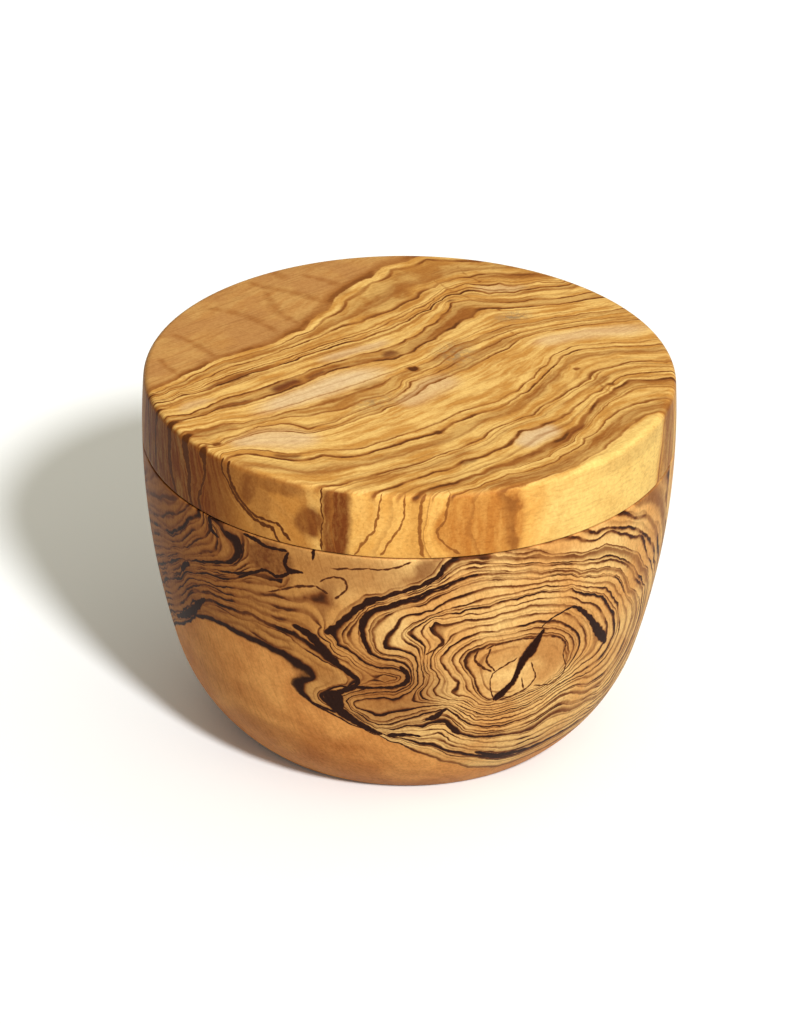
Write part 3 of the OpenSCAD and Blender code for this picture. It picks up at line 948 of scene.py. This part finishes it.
# The main growth lines on the lid's top: a level, and the places (x, y) it runs through.
lid_growth = (
    (31, (-52, -10), (-46, -3.5), (-38, 5), (-28, 11.5), (-22, 18), (-17, 27), (-14.5, 35), (-8, 42.5),
     (-1, 50)),
    (29, (-51, -11.3), (-45, -6), (-41, -1.2), (-33, 5.8), (-26, 11), (-23, 15), (-17.5, 23.5),
     (-13, 31.5), (-8, 39.5), (-4, 46), (3, 51)),
    (27.5, (-3, 38.5), (4.5, 42), (9, 45.8), (15, 47.3), (21, 48.3)),
    (26, (-51, -12.6), (-46, -9), (-41, -3.8), (-36, 1.5), (-28, 6.5), (-21, 12.5), (-15, 18),
     (-10, 22), (-4, 27.5), (1, 33), (5, 38), (8, 41), (12, 43), (20, 44), (28, 43.8)),
    (22, (-52, -14), (-46, -10.3), (-40, -6), (-35, -2.2), (-29, 2), (-23, 6.9), (-17, 11.8), (-10, 17),
     (-4, 22.5), (1, 28), (5, 33.5), (7.5, 37.5), (11, 40), (18, 40.5), (26, 41.5)),
    (20, (-52, -15.3), (-46, -12.6), (-40, -9.2), (-35, -4.6), (-29, -0.3), (-23.5, 4.2), (-17, 9.3),
     (-10, 14), (-4, 18.8), (0, 23), (4, 28), (6.5, 32.3), (10, 35), (16, 35.3), (21, 36.3), (25, 38.2),
     (32, 40)),
    (12, (-49, -21.8), (-44, -20.3), (-40.5, -17), (-37, -13.2), (-32, -10.3), (-26, -5), (-20, 0.4),
     (-14, 4.2), (-9, 8), (-5, 10.2), (-1, 14), (3, 20), (6, 26), (8, 31.5), (12, 33), (18, 32),
     (25, 33.3), (34, 35.5)),
    (8, (-48, -23.8), (-43, -21.5), (-38, -17.8), (-33, -15.4), (-29, -12.5), (-24, -8.6), (-19, -3.8),
     (-14, 0.7), (-9, 3.3), (-3, 5.2), (1, 9), (5, 14.5), (9, 19.5), (13, 24.8), (16, 28.8), (24, 29.5),
     (33, 32)),
    (0, (-47, -28.5), (-42, -26.6), (-37, -24), (-33, -24), (-28, -21), (-22, -17.2), (-16, -13.6),
     (-11, -9.3), (-6, -6), (-2, -1.2), (2, 2.5), (6, 8), (9, 12), (14, 16), (19, 20.5), (25, 23),
     (33, 26.2), (43, 29.5)),
    (-2.5, (-45, -31), (-39, -28.8), (-35, -26.6), (-30, -23.8), (-24, -20.7), (-18, -18.8),
     (-13, -16.8), (-9, -12.5), (-5, -10.5), (-2, -6.2), (10, 9.5), (15, 14), (19.5, 18.3), (27, 22.2),
     (34, 25), (44, 28.2)),
    (-5, (-43, -33), (-38, -33.3), (-34, -29), (-30, -25), (-25, -23.9), (-20, -25.9), (-15, -23),
     (-9, -17), (-4, -13.3), (-1.5, -9.5), (0, -4.5)),
    (-8, (12, 1), (15.5, 6), (20, 11), (22.5, 15.3), (26, 17.7), (30, 19.7), (37, 22), (46, 24.5)),
    (-13, (-24, -31), (-10, -26), (0, -18), (8, -10), (14, -3), (19, 4), (24, 10), (28, 15), (36, 18.5),
     (50, 21.5)),
    (-19.5, (-37, -36.5), (-33, -35), (-28, -35.5), (-24, -37), (-19, -35.5), (-14, -35), (-9, -34),
     (-3, -29), (2, -25.5), (7, -21.5), (12, -16.5), (18, -12.7), (22, -8), (25, -2), (28, 4),
     (31, 9.8), (36, 12.8), (44, 14.4), (52, 15.8)),
    (-22, (-36, -39.5), (-33, -37.4), (-28, -38), (-24, -39.5), (-20, -39.2), (-17, -36.9),
     (-12, -37.8), (-6, -34.5), (0, -30.3), (5, -27.3), (9, -22.5), (14, -18), (19, -14.5),
     (22.5, -9.5), (26, -3), (29, 2.5), (31, 7.5), (34, 10.5), (42, 12.5), (52, 14.3)),
    (-26, (-18, -47), (-8, -42), (0, -37.5), (8, -31.5), (14, -24.5), (20, -19), (25, -12), (28.5, -5),
     (31, 0), (32.5, 4), (36, 6.5), (42, 9), (52, 10.5)),
    (-29, (-14, -50), (-5, -44.5), (3, -39.5), (10, -34), (15, -28.5), (20, -22), (25, -18.2),
     (30, -11), (34, -6), (36.5, -2.5), (37.5, 1), (41, 3), (52, 5.3)),
    (-35, (-5, -52), (0, -48), (5, -44), (11, -38.5), (17, -34), (20.5, -29.5), (22, -25.5), (27, -22),
     (31, -18), (35, -12.5), (38.5, -7.3), (41, -3.5), (45, 0.3), (53, 1.8)),
    (-39, (2, -53.5), (9, -48.5), (15, -44), (20, -39.8), (26, -34.2), (31, -28.5), (34, -23),
     (36, -17), (38, -11), (41, -6.3), (44, -2.5), (53, -1)),
    (-42, (5, -53.5), (13, -48), (21, -42), (28, -36.3), (33, -29.5), (36.5, -21.5), (39, -15),
     (42, -10.5), (45, -6.8), (53, -5)),
    (-46, (9, -52.8), (15, -48), (20, -43.8), (25, -41.5), (30, -36), (35, -28.5), (39, -21),
     (42, -15.8), (47, -12.6), (53, -10)),
    (-52, (20, -49.8), (28, -44.8), (34, -40), (39, -33.3), (42, -28), (44.5, -22.5), (48, -18),
     (51.5, -16)),
)
# And on the lid's side, with azimuths and heights.
lid_side_growth = (
    (-35, (-7, 71.5), (-11, 64)), (-37.5, (-3, 68), (-5, 64)), (-39, (2, 70), (2.5, 64)),
    (-46, (7.5, 72), (6, 69), (8, 66.5), (11, 64)), (-52, (28, 73), (25, 70.5), (24.2, 64)),
    (-22, (-42, 75), (-39, 70.5), (-35, 67.7), (-30, 67), (-28, 64)),
    (-19.5, (-43.5, 75), (-40.5, 70.8), (-36, 67.2), (-31, 65.8)), (-26, (-24, 70), (-20, 64)),
    (-29, (-18.5, 71), (-16, 64)), (-5, (-49, 71), (-50.5, 64)), (0, (-55, 71), (-53.7, 64)),
    (8, (-62, 71), (-59.5, 64)), (20, (-70, 71), (-68, 64)), (31, (-80, 70), (-82, 64)),
    (-46, (76, 70), (74, 64)), (-39, (88, 70), (88, 64)), (-60, (45, 70), (55, 64)),
)
# Where the photograph shows neither, level by level, with places (x, y, z).
lid_hidden_growth = (
    (42, (-35, 30, 77)), (37, (-15, 50, 70)), (0, (45, 30, 65)), (24, (20, 50, 66)),
)

# Marks that no growth line gives, as chains of (place, place, half width): on the lid's side by
# azimuth and height, and the faint cross streaks on its top by (x, y).
lid_side_marks = (
    ((-43.8, 77, 0.35), (-43.2, 74.5, 0.35), (-41, 72.3, 0.3), (-39.5, 70.5, 0.35), (-36.5, 68, 0.4),
     (-33, 66.3, 0.4), (-30, 66.2, 0.4), (-28.8, 64.5, 0.35), (-28, 63.3, 0.3)),
    ((-41.8, 77, 0.4), (-41.5, 74.5, 0.4), (-39.5, 71.5, 0.45), (-36.5, 68.9, 0.4), (-33.5, 67.3, 0.35),
     (-29, 67.3, 0.35), (-27, 66, 0.35), (-25.8, 64.3, 0.3)),
    ((-63, 77, 1.2), (-62.4, 73.5, 1.0), (-62, 70, 1.0), (-61, 66.5, 0.8), (-59, 63.6, 0.7)),
    ((-56.3, 77, 1.3), (-55.5, 74, 1.4), (-54, 70, 0.9), (-53.8, 66, 0.7), (-53, 63.5, 0.6)),
    ((-50, 76.5, 1.4), (-48.5, 74, 0.6), (-49, 70, 0.5), (-50.5, 66, 0.5), (-50, 63.5, 0.8)),
    ((-70, 77, 0.9), (-70, 70, 0.7), (-69.5, 64, 0.7)),
    ((-77, 77, 0.7), (-75, 70, 0.6), (-74, 64, 0.6)),
    ((-18.6, 77, 0.25), (-18.3, 70, 0.2), (-18.3, 63.5, 0.25)),
    ((-5.5, 77, 0.2), (-6.3, 73, 0.25), (-7, 69.5, 0.3), (-9.3, 66.5, 0.35), (-11, 63.5, 0.3)),
    ((-0.8, 77, 0.25), (-1, 71.5, 0.25), (-3.4, 67.5, 0.3), (-5.5, 64, 0.25)),
    ((3.4, 77, 0.4), (2.6, 73.5, 0.45), (2.6, 68, 0.5), (3.2, 64, 0.45)),
    ((8.8, 77, 0.25), (7.6, 71.5, 0.3), (6, 69.3, 0.3), (8, 66.5, 0.3), (11, 64, 0.3)),
)
lid_top_marks = (
    ((-33, 39, 1.2), (-28, 36.4, 1.6), (-22, 34, 1.7), (-17, 30, 1.3)),
    ((-22, 43, 1.0), (-17, 40.5, 1.5), (-13.5, 37, 1.9), (-14.5, 34.5, 1.2)),
    ((-29.5, 35, 1.0), (-28.5, 30, 1.5), (-26, 24.5, 1.4), (-22, 20.5, 1.1)),
    ((-41, 27, 1.0), (-34, 24.5, 1.7), (-27, 17, 1.2)),
    ((-48, 15, 1.1), (-44, 11.5, 1.4), (-39, 5, 1.0)),
    ((-50.5, 4, 1.0), (-49, 0.5, 1.1), (-45.5, -4, 0.8)),
    ((-29, 45, 1.7), (-26, 41.5, 1.7)),
    ((-17.5, 29.5, 1.8), (-19, 24.5, 1.4)),
    ((4.5, 42.5, 0.3), (5, 41, 0.3), (7, 38.5, 0.4), (9, 36, 0.5), (12, 33.5, 0.5)),
    ((9.5, 48, 0.3), (10.5, 45.5, 0.4), (12.5, 43, 0.4), (14.5, 41, 0.4)),
    ((20, 19, 0.3), (21, 17.5, 0.4), (22.5, 15.5, 0.3)),
    ((37, 0.5, 0.3), (37.5, -2.5, 0.5), (39.5, -6.5, 0.5), (41.5, -9.5, 0.4)),
    ((-49.5, -14.5, 0.25), (-47.3, -15.5, 0.25), (-48, -17.3, 0.25), (-50, -17.8, 0.25)),
)

# Knots on the top as (x, y, size, strength), and knots and stains on the side as (azimuth, height,
# width, height, strength). Streaks and bands are (level, softness below, softness above, strength).
lid_knots = (
    (0.8, 1.2, 2.0, 1.0), (5.8, -26.6, 1.9, 0.9), (18.1, 28.5, 0.8, 0.7), (33.6, 2.2, 1.1, 0.7),
    (40.5, -4.6, 1.3, 0.8), (14.2, 41.2, 0.7, 0.7), (-38, -33, 1.6, 0.8),
)
lid_side_stains = (
    (-15.3, 71, 3.4, 16, 1.0), (-21, 69.3, 3.6, 3.8, 0.95), (-36.5, 73, 3, 4, 0.8),
    (-47, 68, 7, 8, 0.55), (76, 70, 5, 12, 0.6), (-31, 75.5, 9, 2.2, 0.6), (58, 75, 14, 2.2, 0.2),
    (-33, 70, 3, 9, 0.35),
)
lid_streaks = (
    (31.0, 0.3, 2.2, 0.75), (29.2, 0.3, 0.6, 0.75), (26.0, 0.3, 0.8, 0.8), (27.4, 0.2, 0.4, 0.5),
    (22.0, 0.25, 0.6, 0.8), (21.0, 0.2, 0.4, 0.7), (20.0, 0.5, 0.8, 1.0), (17.8, 0.2, 0.5, 0.5),
    (12.0, 0.9, 0.5, 0.85), (8.2, 0.4, 1.1, 0.9), (0.0, 0.7, 0.4, 0.7), (-2.5, 0.3, 0.5, 0.65),
    (-5.0, 0.35, 0.6, 0.75), (-8.0, 0.3, 0.8, 0.8), (-19.5, 0.25, 0.6, 0.75), (-22.0, 0.4, 0.9, 0.9),
    (-25.0, 0.3, 0.5, 0.4), (-29.0, 0.3, 0.8, 0.75), (-31.5, 0.3, 0.5, 0.35), (-35.0, 0.4, 0.9, 0.85),
    (-37.2, 0.3, 0.5, 0.5), (-39.0, 1.4, 0.8, 0.9), (-42.0, 0.3, 0.5, 0.65), (-46.0, 0.4, 0.9, 0.7),
    (-51.5, 0.4, 0.9, 0.65),
)
lid_bands = (
    (10.0, 2.6, 2.6, 0.75), (-1.2, 1.7, 1.7, 0.7), (-39.6, 2.4, 1.8, 0.9), (-48.8, 3.6, 3.4, 1.0),
    (-24.4, 1.9, 1.7, 0.75), (28.0, 1.6, 1.5, 0.8), (-6.6, 1.4, 1.3, 0.5), (18.3, 1.8, 1.5, 0.45),
    (-31.5, 1.6, 1.6, 0.35), (14.4, 1.2, 1.2, 0.4), (24.6, 1.1, 1.0, 0.45),
)
# Patches between two growth lines, as (place, size, turn, middle level, half width, strength).
# The first rows, pale silvery patches, are painted sheen on the oiled top.
lid_sheen_patches = (
    ((-17, -10), (17, 9), 38, 4.2, 4.4, 1.0), ((3, -8), (9, 9), 50, -8.5, 5.0, 0.6),
    ((25, -27), (6, 8), 50, -36.6, 2.2, 1.0), ((-27, -30), (10, 7), 0, -12.0, 8.5, 0.8),
    ((-12, 10), (9, 6), 35, 14.8, 3.0, 0.7), ((36, 18), (14, 6), 15, -13, 5, 0.6),
    ((-41, -17), (6, 4), 25, 15.6, 3.2, 0.5), ((18, 38), (6, 3), 10, 21.2, 1.4, 0.5),
)
lid_reddish = (
    ((5.5, 20), (15, 6), 62, 9.6, 2.8, 1.0), ((-17.5, -0.5), (6, 4), 33, 9.8, 2.2, 1.0),
    ((-7, 5), (6, 4), 25, 9.2, 1.8, 0.9), ((-33, -3), (9, 5), 38, 20.8, 1.9, 1.0),
    ((-35, -15), (6, 4), 25, 8.8, 1.8, 1.0), ((-31, -10.5), (5, 3), 40, 9.0, 2.4, 0.8),
    ((-14, -15.5), (8, 4), 38, 0.8, 2.6, 0.95), ((-7, -8), (5, 4), 40, 0.6, 2.2, 0.8),
    ((-39, -27.5), (7, 5), 10, -1.4, 2.6, 0.9), ((-5, 31), (10, 5), 65, 27.8, 2.6, 0.8),
    ((17, 8), (10, 4), 60, -5.6, 2.6, 0.8), ((27, -6), (9, 5), 62, -24.4, 2.4, 0.95),
    ((18, -17), (9, 5), 35, -24.2, 2.4, 0.6), ((31.5, -28), (9, 5), 60, -40.0, 1.7, 1.0),
    ((19, -40), (7, 5), 35, -39.8, 2.2, 0.9), ((6, -37), (9, 6), 40, -31.6, 2.6, 0.6),
    ((-5, -42), (8, 6), 30, -30.5, 3.2, 0.55), ((21, 44), (9, 3), 8, 25.4, 1.5, 0.85),
    ((29, 37.5), (10, 3), 20, 18.6, 1.9, 0.85), ((20, 33), (9, 4), 12, 13.4, 2.0, 0.7),
    ((46, 10), (8, 4), 10, -24.6, 1.9, 0.7), ((37, -3), (3, 5), 100, -31.5, 2.6, 0.8),
    ((26, -44), (14, 6), 33, -49.0, 3.4, 1.0), ((42, -24), (12, 6), 62, -49.0, 3.4, 0.9),
)
lid_blocks = (
    ((-24.8, -7.2), (4.2, 5), 35, 9.6, 2.4, 0.95), ((-34, -4.2), (3.0, 3), 40, 20.2, 1.5, 0.85),
    ((-38, -7.4), (4, 3), 35, 20.4, 1.2, 0.8), ((-35.5, -15), (4.5, 3.5), 25, 8.6, 1.4, 0.9),
    ((-19, -2.2), (2.6, 3), 30, 9.0, 1.2, 0.8), ((-3.6, 6.8), (2.2, 3), 25, 10.4, 2.0, 0.8),
    ((6.4, 33.4), (1.8, 3), 60, 14.0, 2.4, 0.8), ((32.5, -26), (5, 4), 62, -39.6, 1.3, 0.85),
    ((11, -38), (3, 3), 40, -35.0, 1.2, 0.7), ((-24, -37.3), (3, 3), 10, -20.6, 1.4, 0.7),
)
# Colours of the lid's wood; the silver grey is painted sheen.
gold, fawn, painted_sheen_grey = (0.92, 0.58, 0.18), (0.64, 0.30, 0.064), (0.84, 0.60, 0.33)
ash_grey, rust, block_brown = (0.36, 0.235, 0.12), (0.34, 0.115, 0.022), (0.17, 0.042, 0.012)
corner_cream, corner_brown = (0.98, 0.69, 0.215), (0.53, 0.25, 0.078)
# The front brown and the stain brown also serve as painted shade on the left of the lid's side, away
# from the lamp.
front_gold, brown_wood_and_shade = (0.92, 0.47, 0.105), (0.60, 0.25, 0.048)
panel_brown, stain_and_shade_brown = (0.55, 0.205, 0.036), (0.20, 0.052, 0.011)
halo_brown, streak_brown = (0.36, 0.125, 0.024), (0.115, 0.035, 0.009)


def lid_side(azimuth, height):
    """Point in millimetres on the lid's side, at an azimuth from the front and a height."""
    a = math.radians(azimuth)
    return (box_r * math.sin(a), -box_r * math.cos(a), height)


def lid_top(x, y):
    """Point in millimetres on the lid's top."""
    return (x, y, lid_top_z)


def lid_inside(x, y, z):
    """Point in millimetres anywhere in the lid."""
    return (x, y, z)


def lid_wood():
    """Olive wood with long streaks that fan out from the left, and clean wood at two corners."""
    w = Figure("lid_wood")
    point = w.own_point()
    bent = w.warped(point, 5, 1.1, detail=1, shift=(30, 0, 0))
    bent = w.warped(bent, 1.5, 0.6, detail=2, shift=(0, 60, 0))
    ragged = w.warped(point, 2.0, 1.3, detail=2, shift=(0, 0, 33))
    level = w.fitted(bent, [
        (skin(*place), value)
        for skin, lines in (
            (lid_top, lid_growth), (lid_side, lid_side_growth), (lid_inside, lid_hidden_growth),
        )
        for value, *places in lines for place in places
    ])
    x, y, z = w.parts(point)
    shifts = w.drifting(level, point, 14)[1]

    below_edge = w.fade(z, lid_top_z - 2.2, lid_top_z - 0.6, 1.0, 0.0)
    drawn_side = w.times(w.fade(x, 12, 16, 1.0, 0.0), w.fade(y, -14, -6, 1.0, 0.0))
    thickness = w.fade(w.noise(point, 7, 2, shift=(5, 5, 90)), 0.36, 0.58, 0.65, 1.0)
    placed = w.times(
        w.streaks(shifts, lid_streaks), w.scaled(w.times(below_edge, drawn_side), -0.9, 1.0), thickness,
    )
    clean = w.darkest(w.fade(level, 30.5, 31.5), w.fade(level, -53.0, -51.0, 1.0, 0.0))
    fine = w.times(w.growth_lines(shifts[1], 2.3, 0.06, 0.25, 5.0), w.scaled(clean, -0.50, 0.58))
    side_marks = w.strokes(ragged, lid_side, *lid_side_marks)
    side_marks = w.times(side_marks, w.fade(x, -20, -10, 1.0, 0.68))
    top_marks = w.strokes(ragged, lid_top, *lid_top_marks, full=0.95, flat=True)
    dark = w.darkest(placed, fine, side_marks, w.times(top_marks, 0.42), *[
        w.spot(ragged, lid_top(*place), 0, (size, size * 0.8, 4), 0.3, 1.0, strength)
        for *place, size, strength in lid_knots
    ])

    def patches(rows):
        """Patches of the wood between two growth lines, each fading out at both ends."""
        return w.darkest(*[
            w.times(
                w.spot(bent, lid_top(*place), turn, (*size, 9), 0.6, 1.15, strength),
                w.streak(level, middle, half, half, 1.0),
            )
            for place, size, turn, middle, half, strength in rows
        ])

    tone = w.noise(point, 12, 3, shift=(60, 0, 20))
    along = w.vector("DOT_PRODUCT", bent, (0.75, 0.66, 0))
    drawn_out = w.together(w.times(level, 0.9), w.times(along, 0.13), w.times(z, 0.2))
    blotchy = w.fade(w.noise(drawn_out, 1.7, 4, 0.62), 0.38, 0.62)
    wood = w.mixed(blotchy, gold, fawn)
    # Pale silvery patches: painted sheen on the oiled top.
    wood = w.mixed(w.times(patches(lid_sheen_patches), 0.9), wood, painted_sheen_grey)
    greyed = w.darkest(
        w.spot(ragged, lid_top(9, 8), 0, (6, 7, 4), 0.0, 1.2, 0.8),
        w.spot(ragged, lid_top(21, 25.5), 20, (5, 3, 4), 0.0, 1.2, 0.9),
        w.spot(ragged, lid_top(-7, -14), 40, (7, 4, 4), 0.0, 1.2, 0.6),
    )
    speckle = w.fade(w.noise(ragged, 1.2, 4, 0.75, shift=(2, 2, 2)), 0.36, 0.58)
    wood = w.mixed(w.times(greyed, speckle), wood, ash_grey)
    reddish = w.darkest(patches(lid_reddish), w.times(w.streaks((level,), lid_bands), 0.8))
    wood = w.mixed(w.times(reddish, w.scaled(blotchy, 0.35, 0.62)), wood, rust)
    wood = w.mixed(patches(lid_blocks), wood, block_brown)
    pale_corner = w.times(w.fade(level, -53.5, -51.5, 1.0, 0.0), w.fade(tone, 0.3, 0.7, 1.0, 0.55))
    wood = w.mixed(pale_corner, wood, corner_cream)

    beside_top = w.fade(z, lid_top_z - 0.8, lid_top_z - 0.05, 1.0, 0.0)
    right_front = w.times(w.fade(x, -24, -12, 0.0, 0.7), w.fade(x, 24, 30, 1.0, 0.2))
    wood = w.mixed(w.times(right_front, beside_top), wood, front_gold)
    # Brown on the left front of the side, turning away from the lamp: partly darker wood, partly
    # painted shade.
    left_front_wood_and_shade = w.fade(w.calc("ABSOLUTE", w.calc("ADD", x, 31)), 9, 15, 0.85, 0.0)
    left_front_wood_and_shade = w.times(left_front_wood_and_shade, w.fade(y, -20, -14, 1.0, 0.0))
    wood = w.mixed(w.times(left_front_wood_and_shade, beside_top), wood, brown_wood_and_shade)
    upright = w.noise(w.stretched(ragged, (0, 0, 0), (1, 1, 5)), 2.2, 4, 0.65, shift=(4, 60, 3))
    panel = w.darkest(
        w.spot(ragged, lid_side(16.5, 70), 16.5, (8.6, 9, 14), 0.86, 1.08),
        w.spot(ragged, lid_side(11, 69.5), 11, (5.5, 9, 6), 0.8, 1.1),
    )
    panel = w.times(panel, w.scaled(w.fade(upright, 0.35, 0.65), 0.45, 0.55))
    wood = w.mixed(w.times(panel, beside_top), wood, panel_brown)
    stains = w.darkest(*[
        w.spot(ragged, lid_side(azimuth, middle), azimuth, (across, 9, up), 0.6, 1.15, strength)
        for azimuth, middle, across, up, strength in lid_side_stains
    ])
    # The left side, away from the lamp, darkened to the stains' brown: painted shade.
    left_painted_shade = w.times(w.fade(x, -28, -40, 0.0, 1.0), w.scaled(blotchy, 0.2, 0.8))
    stains = w.times(stains, w.scaled(w.fade(upright, 0.3, 0.6), 0.35, 0.65))
    wood = w.mixed(w.times(w.darkest(left_painted_shade, stains), beside_top), wood, stain_and_shade_brown)
    far_corner = w.times(w.fade(level, 30.5, 31.5), w.scaled(w.fade(tone, 0.4, 0.6), 0.25, 0.72))
    wood = w.mixed(far_corner, wood, corner_brown)
    wood = w.mixed(w.calc("MINIMUM", w.times(dark, 1.4), 1.0), wood, halo_brown)
    wood = w.mixed(w.fade(dark, 0.55, 1.0), wood, streak_brown)
    wood, fibre = w.grained(wood, point, (0, 0, 40), (8, 0.5, 0.5), 0.2, (0.50, 0.28, 0.14))
    w.finish(wood, w.scaled(fibre, 0.2, 0.40), fibre, 0.00002)
    return w.material


lid = put("turned_lid", turned_mesh("turned_lid", lid_outline, 240, lid_wood()))
bored(
    lid,
    (pivot_y, bush_d + 2 * glue_gap, lid_z - 1.3, lid_z + bush_l + pin_headroom),
    (magnet_y, magnet_d + 2 * glue_gap, lid_z - 1.3, lid_z - seam_gap / 2 + magnet_t + glue_gap),
)
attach(lid, "lid")
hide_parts("lid")

# Pivot bush: a drawn brass tube, glued into the lid's blind hole over the pin.
# Its flared mouth finds the pin, and the pin has rubbed its bore bright.
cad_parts["pivot_bush"].material_slots[0].material = metal(
    "drawn_brass", (0.78, 0.56, 0.24), (0.42, 0.27, 0.10), (0.15, 0.15, 3.0), 0.20, 0.00001,
)

# Lid magnet: the second nickel-plated disc, glued into the lid's underside above the rim's.
# Closing the lid has left fine scuffs across its face.
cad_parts["lid_magnet"].material_slots[0].material = metal(
    "lid_nickel", (0.70, 0.68, 0.62), (0.44, 0.41, 0.36), (2.5, 0.12, 2.5), 0.20, 0.00001,
)
